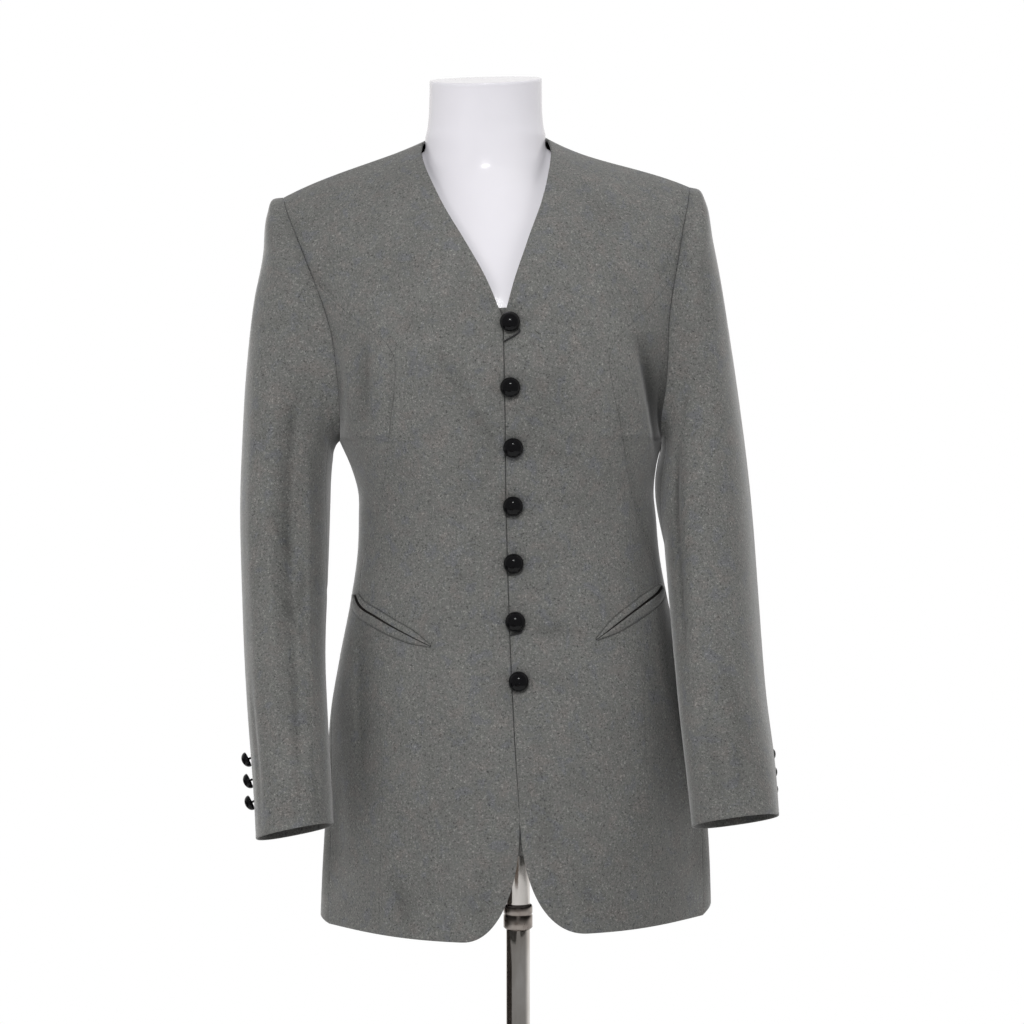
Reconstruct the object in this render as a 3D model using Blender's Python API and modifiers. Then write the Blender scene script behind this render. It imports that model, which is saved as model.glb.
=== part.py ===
"""
A lady's long collarless blazer, buttoned, on a limbless dress form with a pole and a round base.

Units are metres in Blender and millimetres in the tables. The front faces -Y, +Z is up, and the
origin is the centre of the base's underside. The tables are in the garment's own frame: x runs
outwards from the centre line on either side, y backwards, z up from the floor. world_point()
mirrors a point to its side and moves it along the leaning centre line.

The body of the garment is two surfaces on each side, a front and a back. Each is a stack of rows,
and each row is one cubic curve from the front edge (or the centre back) to the side seam, or above
the armpit to the armhole. A row's "level" is the height of its start. Pieces are cut from these
surfaces along their seams, and each is a wall of cloth.
"""
import math

import bmesh
import bpy
import numpy as np
from mathutils import Vector

MM = 0.001
OBJECT_NAME = "blazer_on_dress_form"

# ------------------------------------------------------------------ driving dimensions, in mm
WALL = 2.0                # wool cloth with its lining
SEAM_GAP = 0.3            # between two pieces at a seam
LIE_GAP = 0.3             # under a piece that lies on another
WEARER_RIGHT = -1         # the side at -X, the viewer's left; its front laps over
WEARER_LEFT = 1
SIDE_NAMES = {WEARER_RIGHT: "right", WEARER_LEFT: "left"}

ARMPIT = 1104.0           # level where the side seam meets the armhole
V_FOOT = 1216.0           # level where the neckline meets the front edges
NECK_POINT = 1391.5       # front level of the shoulder seam's inner end
BACK_NECK = 1398.0        # back level of the centre-back neck
BACK_SHOULDER = 1452.0    # back level of the shoulder seam
SEAM_TIP = 1272.0         # level where the side front's point ends
SEAM_TOP = 1278.0         # level where the princess seam meets the armhole
HEM_FADE = 800.0          # the hem's line shapes the rows below this level
LOWEST = 640.0            # first level of the tables

FRONT_HEM = {WEARER_RIGHT: 644.0, WEARER_LEFT: 651.8}    # lowest points of the front hem
CORNER_WIDTH = {WEARER_RIGHT: 48.0, WEARER_LEFT: 58.0}   # the rounded corner at the front hem
CORNER_TOP = 759.4
CORNER_POWER = 2.2
HEM_REACH = 195.0         # girth from the front edge to the side seam at the hem
HEM_BEND = 1.5            # how late the hem rises towards the side seam
SIDE_HEM = {WEARER_RIGHT: 643.0, WEARER_LEFT: 651.0}
BACK_HEM = 669.0
BACK_HEM_BEND = {WEARER_RIGHT: 2, WEARER_LEFT: 6}   # how suddenly the back hem falls to the side


def table(columns, rows):
    """Name the columns of a table of numbers."""
    values = np.array(rows, float)
    return {name: values[:, i] for i, name in enumerate(columns.split())}


SHOULDER_TILT = 0.025      # the wearer's left shoulder sits higher than the right one
TILT_FROM = 1120.0        # the tilt grows between these heights
TILT_TO = 1300.0

# The line that the garment and the form lean along: their middle, seen from the front.
CENTRE_LINE = table("z x", [
    (640, -2), (760, -2), (860, -6), (1030, -10), (1120, -12), (1180, -15), (1260, -22),
    (1340, -30), (1460, -31)])

# Where the closed front edges lie, off the centre line, and half the width between them.
CLOSURE = table("level x", [
    (640, 3.3), (745, 3.3), (815, 1.6), (870, 1), (930, 0), (1120, 0), (1190, 2.4), (1226, 4.4),
    (1300, 5), (1340, 4.3), (1371, 1.8), (1391.5, 0)])
OPENING = table("level x", [
    (640, 0.2), (900, 0.2), (1216, 0.2), (1226, 3.5), (1252, 12.4), (1290, 29), (1329, 46.9),
    (1350, 54.4), (1371, 60.4), (1381, 62), (1391.5, 60)])

# How far the shoulder line arches up near the neck and near the sleeve.
SHOULDER_ARCH = {WEARER_RIGHT: (-2.0, 6.0), WEARER_LEFT: (-9.0, 5.0)}

# Front rows: y at the start, how far the middle swells forward, the curve's two reaches, and the
# row's share of the shoulder's arch.
FRONT = table("level y swell reach reach_end arch", [
    (640, -128, 4, 95, 75, 0), (760, -124, 4, 92, 70, 0), (850, -116, 5, 88, 66, 0),
    (900, -109, 4, 84, 62, 0), (950, -103, 3, 80, 60, 0), (1000, -99, 2, 78, 58, 0),
    (1030, -99, 2, 80, 56, 0), (1066, -103, 3, 83, 64, 0), (1104, -109, 4, 86, 78, 0),
    (1114, -110.5, 4, 86, 60, 0), (1135, -113, 5, 87, 49, 0), (1165, -116, 6, 86, 47, 0),
    (1200, -116, 5, 84, 46, 0), (1226, -112, 3, 78, 44, 0), (1252, -108, 0, 64, 44, 0),
    (1290, -90, -2, 50, 42, 0), (1329, -60, -3, 42, 42, 0.2), (1350, -42, -3, 40, 42, 0.4),
    (1371, -20, -2, 38, 44, 0.7), (1391.5, 6, 0, 42, 45, 1)])

# The side seam, and the direction in which the cloth crosses it (degrees from +x towards +y).
SIDE_SEAM = table("level x y turn", [
    (640, 179, -25, 52), (700, 178, -23, 55), (760, 176, -20, 60), (850, 171.5, -13, 72),
    (900, 163, -8, 82), (950, 152.5, -2, 88), (1000, 144.5, 1, 90), (1030, 143, 2, 90),
    (1055, 143, 3, 90), (1078, 149, 4, 90), (1104, 160, 6, 90)])

# The armhole from the armpit to the shoulder point, round the front and round the back.
ARMHOLE_FRONT = table("level x y z turn", [
    (1104, 160, 6, 1104, 90), (1112, 158.5, -14, 1108, 86), (1130, 156.5, -34, 1124, 74),
    (1165, 156, -46, 1156, 60), (1200, 157, -50, 1187, 53), (1226, 159, -50, 1211, 48),
    (1252, 164, -47, 1235, 42), (1290, 175, -38, 1274, 34), (1329, 185, -24, 1308, 24),
    (1350, 190, -14, 1323, 16), (1371, 193.5, -3, 1336, 6), (1391.5, 195, 8, 1342.5, 0)])
ARMHOLE_BACK = table("level x y z turn", [
    (1104, 160, 6, 1104, 90), (1118, 159, 32, 1112, 106), (1140, 157, 50, 1130, 120),
    (1170, 157.5, 61, 1158, 128), (1226, 161, 66, 1203, 132), (1280, 169, 63, 1243, 136),
    (1330, 179, 53, 1280, 142), (1370, 186, 42, 1305, 150), (1398, 190, 32, 1320, 158),
    (1426, 193, 20, 1334, 168), (1452, 195, 8, 1342.5, 180)])

# Back rows: the centre back, then from BACK_NECK upwards the back neckline.
BACK = table("level x y z reach reach_end arch", [
    (640, 0, 118, 640, 74, 82, 0), (760, 0, 113, 760, 72, 78, 0), (850, 0, 107, 850, 70, 68, 0),
    (900, 0, 99, 900, 66, 59, 0), (950, 0, 89, 950, 62, 52, 0), (1000, 0, 81, 1000, 60, 50, 0),
    (1030, 0, 79, 1030, 60, 50, 0), (1066, 0, 81, 1066, 62, 58, 0), (1104, 0, 87, 1104, 66, 78, 0),
    (1120, 0, 89.5, 1120, 68, 50, 0), (1165, 0, 95, 1165, 70, 44, 0), (1226, 0, 98, 1226, 74, 40, 0),
    (1280, 0, 95, 1280, 76, 38, 0), (1330, 0, 86, 1330, 74, 36, 0), (1370, 0, 73, 1370, 70, 36, 0.2),
    (1398, 0, 60, 1398, 60, 36, 0.4), (1412, 22, 54, 1400, 56, 38, 0.5), (1426, 43, 40, 1400, 50, 40, 0.7),
    (1440, 56, 22, 1396, 44, 44, 0.9), (1452, 60, 6, 1391.5, 42, 45, 1)])

# The princess seam, from the hem up to the armhole.
PRINCESS = table("level x", [
    (640, 128), (700, 127), (800, 124), (880, 126), (920, 133), (955, 141), (1000, 135.5),
    (1026, 125), (1064, 115), (1124, 106.5), (1162, 100.5), (1188, 99), (1206, 107), (1234, 135),
    (1278, 173)])

# The largest folds of the fronts, each along a line: how deep (negative is a ridge) and how wide.
FRONT_FOLDS = {
    WEARER_RIGHT: table("x z x_end z_end depth width", [
        (130, 1206, 133, 1112, 2.6, 8), (146, 1200, 150, 1120, -1.6, 7),
        (112, 1196, 114, 1130, -1.4, 8), (64, 1192, 6, 1082, 1.2, 12),
        (88, 1176, 34, 1066, -1.6, 16), (139, 950, 137, 742, 2.2, 11),
        (116, 708, 98, 660, 1.8, 9), (104, 902, 84, 790, -1.2, 10)]),
    WEARER_LEFT: table("x z x_end z_end depth width", [
        (127, 1212, 139, 1108, 3, 10), (112, 1200, 120, 1120, -1.8, 9),
        (60, 1190, 14, 1090, 1, 14), (18, 1092, 74, 1084, 1.2, 8),
        (16, 930, 76, 926, 1.4, 9), (140, 950, 138, 760, 1.8, 12)])}
FOLD_MARGIN = 0.08        # share of a row over which the folds fade out at its end

# Folds of the sleeves, by the distance down and the angle round the ring.
SLEEVE_FOLDS = {
    WEARER_RIGHT: table("down angle down_end angle_end depth width", [
        (60, 96, 560, 84, 2.4, 13), (90, 52, 600, 46, -1.8, 12), (330, 140, 420, 92, 1.6, 9),
        (300, 250, 400, 300, 2, 12), (60, 285, 330, 300, 2, 14)]),
    WEARER_LEFT: table("down angle down_end angle_end depth width", [
        (70, 124, 420, 116, 2.4, 13), (200, 96, 460, 100, -1.4, 10), (470, 70, 600, 52, 1.8, 12),
        (300, 250, 400, 300, 2, 12), (60, 285, 330, 300, 2, 14)])}

# The wearer's left armpit is pushed in by its sleeve: most at one height, fading above and below.
TUCK = {WEARER_RIGHT: 0.0, WEARER_LEFT: 9.0}
TUCK_HEIGHT = 1108.0
TUCK_FADE = 45.0

# Sleeve rings from the armhole down: outer and inner edge seen from the front, the middle's y,
# the depth from front to back, how much higher the front is than the back, how far the front and
# back points bow in towards the body, and how far the ring leans, its back outwards.
SLEEVE_COLUMNS = "down outer_x outer_z inner_x inner_z y depth rise bow lean"
SLEEVES = {
    WEARER_RIGHT: table(SLEEVE_COLUMNS, [
        (0, 195, 1342.5, 160, 1104, 8, 116, -18, 16, 0),
        (10, 205, 1341, 163, 1101, 8, 119, -10, 12, 0),
        (25, 211.5, 1327, 166, 1095, 8, 122, -4, 8, 0),
        (60, 219, 1290, 168, 1084, 8, 124, 0, 4, 0),
        (110, 231.5, 1246, 169.5, 1068, 6, 124, 0, 1, 0),
        (180, 243.5, 1186, 170.5, 1044, 3, 124, 0, 0, 0),
        (260, 251.5, 1118, 171.5, 1012, -2, 122, 0, 0, 2),
        (340, 255.5, 1042, 173, 970, -12, 118, 4, 0, 4),
        (430, 253.5, 945, 175, 905, -35, 112, 14, 0, 6),
        (520, 249.5, 865, 173, 842, -60, 106, 24, 0, 6),
        (590, 245, 790, 171, 790, -80, 100, 22, 0, 4),
        (640, 241.5, 734, 170, 748.5, -92, 96, 20, 0, 0)]),
    WEARER_LEFT: table(SLEEVE_COLUMNS, [
        (0, 195, 1342.5, 151, 1104, 8, 116, -18, 16, 0),
        (10, 203.5, 1340, 152.5, 1101, 8, 119, -10, 12, 0),
        (25, 209, 1328, 153, 1095, 8, 122, -4, 8, 0),
        (60, 212, 1291, 152.5, 1084, 8, 124, 0, 4, 0),
        (110, 216, 1250, 151, 1068, 6, 124, 0, 1, 2),
        (180, 221, 1192, 149.5, 1044, 3, 124, 0, 0, 6),
        (260, 227, 1126, 149, 1012, -4, 122, 0, 0, 10),
        (340, 233.5, 1048, 151, 968, -18, 118, 4, 0, 14),
        (430, 237, 955, 154, 902, -42, 112, 14, 0, 17),
        (520, 239.5, 872, 157, 838, -66, 106, 24, 0, 17),
        (590, 243.5, 804, 160, 784, -84, 100, 24, 0, 12),
        (640, 244.5, 757, 162.5, 745.5, -93, 96, 21, 0, 6)])}
CAP_BLEND = 60.0          # the rings take on the armhole's shape this far down from it
SLEEVE_POWER = 2.3        # roundness of a ring; 2 is an ellipse
# The two sleeve seams, as angles round a ring: 0 outermost, 90 at the front, 180 innermost.
SLEEVE_SEAMS = {
    WEARER_RIGHT: table("down front back", [
        (0, 148, 250), (150, 156, 262), (340, 164, 300), (560, 172, 346), (640, 174, 353)]),
    WEARER_LEFT: table("down front back", [
        (0, 148, 250), (150, 154, 258), (340, 160, 280), (560, 166, 308), (640, 168, 314)])}

# The form, in level rings: where its widest points lie, their half width, its front and back y.
TORSO = table("z middle width front back power", [
    (792, 0, 132, -84, 76, 2.2), (806, 0, 148, -96, 88, 2.2), (850, 0, 153, -102, 95, 2.1),
    (900, 0, 147, -97, 88, 2.1), (950, 0, 138, -92, 79, 2.1), (1000, 0, 131, -88, 72, 2.2),
    (1040, 0, 130, -90, 70, 2.2), (1090, 0, 131, -97, 76, 2.3), (1150, 0, 134, -105, 85, 2.3),
    (1200, 0, 140, -105, 88, 2.3), (1240, 0, 146, -97, 88, 2.2), (1280, 0, 151, -80, 84, 2.1),
    (1310, 2, 151, -60, 74, 2.1), (1335, 4, 144, -38, 60, 2), (1354, 6, 126, -19, 48, 2),
    (1368, 7, 101, -8, 38, 2), (1379, 7, 62, -2, 28, 2), (1388, 6, 36, 0, 24, 2),
    (1394, 5, 36, 0, 22, 2), (1402, 4, 36, 0, 20, 2), (1414, 3, 36, -4, 20, 2),
    (1430, 2, 36, -8, 20, 2), (1450, 0, 36, -8, 20, 2)])
# The neck rises out of the torso and leans forward; the last ring is the flat cap's edge.
NECK = table("z width front back tilt", [
    (792, 30, -40, 40, 0), (1200, 50, -90, 60, 0), (1280, 58, -80, 60, 0), (1310, 58, -69, 54, 0),
    (1335, 58, -57, 50, 0), (1350, 58, -50, 48, 0), (1360, 58, -47, 47, 0), (1368, 58, -46, 47, 0),
    (1379, 57.1, -45.5, 46, 0), (1388, 57.2, -45.5, 45, 0), (1394, 57.6, -45.5, 44, 0.01),
    (1402, 55.8, -46, 42, 0.03), (1414, 54.2, -47.5, 38, 0.08), (1430, 53.6, -50, 33, 0.14),
    (1450, 53.3, -54, 27, 0.21)])
NECK_BLEND = 8            # how sharply the neck meets the torso

# Front buttons: how far outside the closed edge, and how high. A loop comes out of the edge above
# the shank, goes round it and back: how far out and down it turns, and how low it ends.
FRONT_BUTTONS = table("off z turn_out turn_down drop", [
    (6.2, 1212.5, 7, 9.5, 17.5), (5.3, 1153.6, 0, 5, 8), (7, 1098.3, -1, 5, 8), (6.3, 1044.4, 0, 8, 10),
    (5.5, 991, 1, 8.5, 11), (5.4, 937.5, 5, 9.5, 12.5), (6.3, 883, -1, 5, 8)])
BUTTON_RADIUS = 9.3
BUTTON_DOME = 6.6         # height of the dome above its rim
BUTTON_STAND = 2.7        # from the cloth to the rim
BUTTON_RIM = 0.8          # the rim, from the underside to where the dome starts
SHANK_RADIUS = 2.4
CUFF_BUTTONS = (572, 590, 608)   # how far down the sleeve each one sits, at the back seam
CUFF_BUTTON_RADIUS = 7.3
CUFF_BUTTON_DOME = 5.6
CUFF_SHANK_RADIUS = 1.7
CUFF_DROOP = 20.0         # degrees that a cuff button hangs down
LOOP_RADIUS = 0.9
LOOP_RISE = 1.3           # of the cord's middle above the cloth
LOOP_BEND = 3.9           # from the shank's middle to the cord's middle
LOOP_START = (-2.0, 5.0)  # behind the closed edge, and above the shank

# Each pocket's slit from the side inwards, half its gape, and the width of its two jets.
POCKETS = {
    WEARER_RIGHT: table("x z gape upper lower", [
        (146, 958.8, 1.8, 1.6, 3), (139.4, 947.4, 1.3, 5.5, 8.5), (124, 939, 1, 6.5, 9.6),
        (109.5, 931.4, 0.7, 6.5, 8.8), (92, 923, 0.4, 6, 6.8), (80, 917.4, 0.25, 3, 3),
        (73.5, 914.5, 0.2, 0.8, 0.8)]),
    WEARER_LEFT: table("x z gape upper lower", [
        (145, 966.8, 1.8, 1.6, 3), (139, 960, 1.3, 5, 8.5), (128, 953, 1, 6.5, 10),
        (115, 944.5, 0.8, 6.5, 9.4), (100, 934.3, 0.6, 6.2, 7.6), (88, 926, 0.3, 3.4, 4),
        (80, 920.5, 0.2, 0.8, 0.8)])}
JET_COLUMNS = 13
JET_WALL = 1.2
JET_GAP = 1.0

UNDERLAP = (-8.0, 0.0, 8.0, 17.0)   # columns of the strip, from the closed edge
UNDERLAP_TOP = 1226.5
UNDERLAP_FOOT = 724.0
UNDERLAP_WALL = 1.6
UNDERLAP_GAP = 0.8

POLE_RADIUS = 11.5
COLLAR_RADIUS = 14.0
COLLAR_FOOT = 634.0
COLLAR_TOP = 657.5
FACE_GAP = 0.3            # between two faces of the stand that meet
HUB_RADIUS = 24.0
HUB_TOP = 34.0
BASE_RADIUS = 170.0
BASE_WALL = 9.0
BASE_EDGE = 3.0


# ------------------------------------------------------------------ curves and surfaces

def through(knots, values, at):
    """Smooth curve through a table's values, with slopes taken from the neighbours."""
    slopes = np.gradient(values, knots)
    i = np.clip(np.searchsorted(knots, at, side="right") - 1, 0, len(knots) - 2)
    span = knots[i + 1] - knots[i]
    t = (at - knots[i]) / span
    return ((2 * t ** 3 - 3 * t ** 2 + 1) * values[i] + (t ** 3 - 2 * t ** 2 + t) * span * slopes[i]
            + (3 * t ** 2 - 2 * t ** 3) * values[i + 1] + (t ** 3 - t ** 2) * span * slopes[i + 1])


def column(rows, name, at, key="level", corner=None):
    """A column of a table at any level, with a kink where the outline has a corner."""
    at = np.asarray(at, float)
    knots = rows[key]
    if corner is None:
        return through(knots, rows[name], at)
    low = knots <= corner
    high = knots >= corner
    below = through(knots[low], rows[name][low], np.minimum(at, corner))
    above = through(knots[high], rows[name][high], np.maximum(at, corner))
    return np.where(at < corner, below, above)


def tucked(x, z, side):
    """Move a side or armhole point in by the tuck of its armpit."""
    return x - TUCK[side] * np.exp(-((z - TUCK_HEIGHT) / TUCK_FADE) ** 2)


def row_end(armhole, level, side):
    """Where the rows end: up the side seam, then round the armhole."""
    low = np.minimum(level, ARMPIT)
    high = np.maximum(level, ARMPIT)
    below = level < ARMPIT
    x = np.where(below, column(SIDE_SEAM, "x", low), column(armhole, "x", high))
    y = np.where(below, column(SIDE_SEAM, "y", low), column(armhole, "y", high))
    z = np.where(below, level, column(armhole, "z", high))
    turn = np.where(below, column(SIDE_SEAM, "turn", low), column(armhole, "turn", high))
    return np.stack([tucked(x, z, side), y, z], -1), np.radians(turn)


def front_controls(level, side):
    """The four control points of each front row."""
    start_x = column(OPENING, "x", level, corner=V_FOOT) + side * column(CLOSURE, "x", level)
    start = np.stack([start_x, column(FRONT, "y", level), level], -1)
    end, turn = row_end(ARMHOLE_FRONT, level, side)
    reach = column(FRONT, "reach", level)
    reach_end = column(FRONT, "reach_end", level, corner=ARMPIT)
    swell = column(FRONT, "swell", level)
    fall = (end[..., 2] - start[..., 2]) / (end[..., 0] - start[..., 0])
    near, far = (column(FRONT, "arch", level) * height for height in SHOULDER_ARCH[side])
    second = start + np.stack([reach, -swell, fall * reach + near], -1)
    back_x = reach_end * np.cos(turn)
    third = end - np.stack([back_x, reach_end * np.sin(turn), fall * back_x - far], -1)
    return start, second, third, end


def back_controls(level, side):
    """The four control points of each back row."""
    start = np.stack([column(BACK, name, level, corner=BACK_NECK) for name in "xyz"], -1)
    end, turn = row_end(ARMHOLE_BACK, level, side)
    reach = column(BACK, "reach", level)
    reach_end = column(BACK, "reach_end", level, corner=ARMPIT)
    fall = (end[..., 2] - start[..., 2]) / (end[..., 0] - start[..., 0])
    arch = column(BACK, "arch", level, corner=BACK_NECK)
    near, far = (arch * height for height in SHOULDER_ARCH[side])
    second = start + np.stack([reach, 0 * reach, fall * reach + near], -1)
    back_x = reach_end * np.cos(turn)
    third = end + np.stack([back_x, reach_end * np.sin(turn), fall * back_x + far], -1)
    return start, second, third, end


def cubic(controls, t):
    """Points of the cubic curves at t; controls are (n, 3) and t is (n, m)."""
    weights = ((1 - t) ** 3, 3 * t * (1 - t) ** 2, 3 * t ** 2 * (1 - t), t ** 3)
    return sum(w[..., None] * c[..., None, :] for w, c in zip(weights, controls))


SAMPLES = 41


def measured(controls):
    """Finely spaced points of each row, the curve's own t, and the length run so far."""
    t = np.broadcast_to(np.linspace(0, 1, SAMPLES), controls[0].shape[:-1] + (SAMPLES,))
    points = cubic(controls, t)
    steps = np.linalg.norm(np.diff(points, axis=-2), axis=-1)
    run = np.concatenate([np.zeros(steps.shape[:-1] + (1,)), np.cumsum(steps, -1)], -1)
    return points, t, run


def on_rows(controls_of, level, share, side):
    """Points of a surface; level and share (0 at a row's start, 1 at its end) are arrays alike."""
    flat_level = np.asarray(level, float).ravel()
    flat_share = np.asarray(share, float).ravel()
    controls = controls_of(flat_level, side)
    points, t, run = measured(controls)
    at = np.array([np.interp(s, r / r[-1], row_t) for s, r, row_t in zip(flat_share, run, t)])
    return cubic(controls, at[:, None])[:, 0].reshape(np.shape(level) + (3,))


def fold_depth(rows, first, second, spot_first, spot_second):
    """Depth at each spot of folds that fade out along their lines and to both sides."""
    total = 0.0 * spot_first
    for i in range(len(rows["depth"])):
        start = np.array([rows[first][i], rows[second][i]])
        run = np.array([rows[first + "_end"][i], rows[second + "_end"][i]]) - start
        away_first, away_second = spot_first - start[0], spot_second - start[1]
        along = np.clip((away_first * run[0] + away_second * run[1]) / (run @ run), 0, 1)
        off = np.hypot(away_first - along * run[0], away_second - along * run[1])
        total += rows["depth"][i] * np.sin(math.pi * along) * np.exp(-(off / rows["width"][i]) ** 2)
    return total


def front_surface(level, share, side):
    """Points of the front with its folds, which fade out before the side seam."""
    points = on_rows(front_controls, level, share, side)
    depth = fold_depth(FRONT_FOLDS[side], "x", "z", points[..., 0], points[..., 2])
    points[..., 1] += depth * np.clip((1 - share) / FOLD_MARGIN, 0, 1)
    return points


def share_at_x(controls_of, level, x, side):
    """How far along each row a given x lies, as a share of the row's length."""
    points, t, run = measured(controls_of(np.asarray(level, float), side))
    return np.array([np.interp(value, p[:, 0], r / r[-1]) for value, p, r in zip(x, points, run)])


def front_hem(run, side):
    """Height of the front hem, by the girth run from the front edge."""
    width = CORNER_WIDTH[side]
    corner = np.clip(1 - run / width, 0, 1) ** CORNER_POWER
    rise = np.clip((run - width) / (HEM_REACH - width), 0, 1) ** HEM_BEND
    corner_height = CORNER_TOP - FRONT_HEM[side]
    return (FRONT_HEM[side] + corner_height * (1 - (1 - corner) ** (1 / CORNER_POWER))
            + (SIDE_HEM[side] - FRONT_HEM[side]) * rise)


def hemmed(level, hem):
    """Squeeze the levels below HEM_FADE so that the lowest one lies on the hem."""
    part = np.clip((level - LOWEST) / (HEM_FADE - LOWEST), 0, 1)
    return np.where(level < HEM_FADE, hem + (HEM_FADE - hem) * part, level)


def seam_share(levels, side):
    """The princess seam, as a share of each front row."""
    x = column(PRINCESS, "x", np.minimum(levels, SEAM_TOP))
    return np.where(levels >= SEAM_TOP, 1.0, share_at_x(front_controls, levels, x, side))


# ------------------------------------------------------------------ panels of the body

LOWER_LEVELS = (640, 652, 668, 688, 712, 740, 770, 800, 835, 870, 905, 935, 965, 1000, 1035,
                1065, 1085, 1104)
FRONT_LEVELS = LOWER_LEVELS + (1118, 1140, 1168, 1195, 1216, 1226, 1246, 1272, 1278, 1300, 1325,
                               1345, 1362, 1378, 1391.5)
BACK_LEVELS = LOWER_LEVELS + (1118, 1140, 1170, 1205, 1245, 1285, 1325, 1355, 1380, 1398, 1412,
                              1426, 1440, 1452)
FRONT_COLUMNS = 12
SIDE_FRONT_COLUMNS = 6
BACK_COLUMNS = 12


def front_grid(side, first, last, columns, levels, crowding):
    """A piece of the front surface between two shares of each row."""
    levels = np.array(levels, float)
    power = np.interp(levels, (700, 900, SEAM_TOP), (crowding, 1 + (crowding - 1) / 4, 1))
    steps = np.linspace(0, 1, columns)[None, :] ** power[:, None]
    share = first(levels)[:, None] + (last(levels) - first(levels))[:, None] * steps
    hem = front_hem(share * HEM_REACH, side)
    return front_surface(hemmed(levels[:, None] + 0 * share, hem), share, side)


def front_panel(side):
    return front_grid(side, np.zeros_like, lambda level: seam_share(level, side),
                      FRONT_COLUMNS, FRONT_LEVELS, 1.9)


def side_front_panel(side):
    levels = [level for level in FRONT_LEVELS if level <= SEAM_TIP]
    return front_grid(side, lambda level: seam_share(level, side), np.ones_like,
                      SIDE_FRONT_COLUMNS, levels, 1.0)


def back_panel(side):
    levels = np.array(BACK_LEVELS, float)
    share = np.broadcast_to(np.linspace(0, 1, BACK_COLUMNS), (len(levels), BACK_COLUMNS))
    hem = BACK_HEM + (SIDE_HEM[side] - BACK_HEM) * share ** BACK_HEM_BEND[side]
    return on_rows(back_controls, hemmed(levels[:, None] + 0 * share, hem), share, side)


def world_point(points, side):
    """Mirror to the side and lean along the centre line; still in mm."""
    points = np.array(points, float)
    height = points[..., 2]
    grown = np.clip((height - TILT_FROM) / (TILT_TO - TILT_FROM), 0, 1)
    x = side * points[..., 0]
    points[..., 0] = x + column(CENTRE_LINE, "x", height, key="z")
    points[..., 2] = height + SHOULDER_TILT * x * grown ** 2 * (3 - 2 * grown)
    return points


# ------------------------------------------------------------------ sleeves

SLEEVE_RINGS = (0.45, 4, 10, 18, 30, 48, 75, 110, 150, 195, 240, 285, 330, 375, 425, 475, 525, 575,
                610, 640)
TOP_COLUMNS = 12
UNDER_COLUMNS = 6
ARMHOLE_SAMPLES = 120     # levels at which the armhole is traced


def armhole_ring(side, height):
    """Armhole points at given heights, on the front and on the back."""
    rings = []
    for armhole, top in ((ARMHOLE_FRONT, NECK_POINT), (ARMHOLE_BACK, BACK_SHOULDER)):
        level = np.linspace(ARMPIT, top, ARMHOLE_SAMPLES)
        points, _ = row_end(armhole, level, side)
        rings.append(np.stack([np.interp(height, points[:, 2], points[:, i]) for i in range(3)], -1))
    return rings


def sleeve_ring(value, angle):
    """Points at angles (degrees) of the ring that one row of the sleeve's table describes."""
    cosine = np.cos(np.radians(angle))
    sine = np.sin(np.radians(angle))
    outwards = np.sign(cosine) * np.abs(cosine) ** (2 / SLEEVE_POWER)
    forwards = np.sign(sine) * np.abs(sine) ** (2 / SLEEVE_POWER)
    half = np.sqrt(((value["outer_x"] - value["inner_x"]) / 2) ** 2 - value["lean"] ** 2)
    middle = (value["outer_x"] + value["inner_x"]) / 2 - value["bow"] * sine ** 2
    middle_z = (value["outer_z"] + value["inner_z"]) / 2
    half_z = (value["outer_z"] - value["inner_z"]) / 2
    return np.stack([
        middle + half * outwards - value["lean"] * forwards,
        value["y"] - value["depth"] / 2 * forwards,
        middle_z + half_z * outwards + value["rise"] / 2 * forwards], -1)


def sleeve_points(side, down, angle):
    """Points of a sleeve; down and angle (degrees) are arrays alike."""
    rows = SLEEVES[side]
    ring = sleeve_ring({name: column(rows, name, down, key="down") for name in rows}, angle)
    first = {name: values[0] for name, values in rows.items()}
    height = (first["outer_z"] + first["inner_z"]) / 2 \
        + (first["outer_z"] - first["inner_z"]) / 2 * np.cos(np.radians(angle))
    front, back = armhole_ring(side, height)
    armhole = np.where((angle % 360 <= 180)[..., None], front, back)
    blend = np.clip(1 - down / CAP_BLEND, 0, 1)[..., None] ** 2
    turn = np.radians(angle)
    depth = fold_depth(SLEEVE_FOLDS[side], "down", "angle", down, angle % 360)
    inwards = np.stack([-depth * np.cos(turn), depth * np.sin(turn), 0 * depth], -1)
    return ring + inwards + blend * (armhole - sleeve_ring(first, angle))


def sleeve_half(side, from_seam, to_seam, columns, turn):
    """The rings between two seams; turn is added to the first seam's angle."""
    down = np.array(SLEEVE_RINGS, float)
    start = column(SLEEVE_SEAMS[side], from_seam, down, key="down") + turn
    end = column(SLEEVE_SEAMS[side], to_seam, down, key="down")
    angle = start[:, None] + (end - start)[:, None] * np.linspace(0, 1, columns)
    return sleeve_points(side, down[:, None] + 0 * angle, angle)


# ------------------------------------------------------------------ walls of cloth

def outward_normals(grids):
    """Normals of the grids' points, shared where two grids meet at a seam."""
    totals = {}
    keys = {}
    for name, (points, sign) in grids.items():
        corners = np.zeros_like(points)
        a, b, c, d = points[:-1, :-1], points[:-1, 1:], points[1:, 1:], points[1:, :-1]
        face = sign * np.cross(c - a, d - b)
        corners[:-1, :-1] += face
        corners[:-1, 1:] += face
        corners[1:, 1:] += face
        corners[1:, :-1] += face
        keys[name] = [tuple(key) for key in np.round(points.reshape(-1, 3), 1)]
        for key, normal in zip(keys[name], corners.reshape(-1, 3)):
            totals[key] = totals.get(key, 0) + normal
    result = {}
    for name, (points, sign) in grids.items():
        normals = np.array([totals[key] for key in keys[name]])
        normals /= np.linalg.norm(normals, axis=1)[:, None]
        result[name] = normals.reshape(points.shape)
    return result


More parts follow.
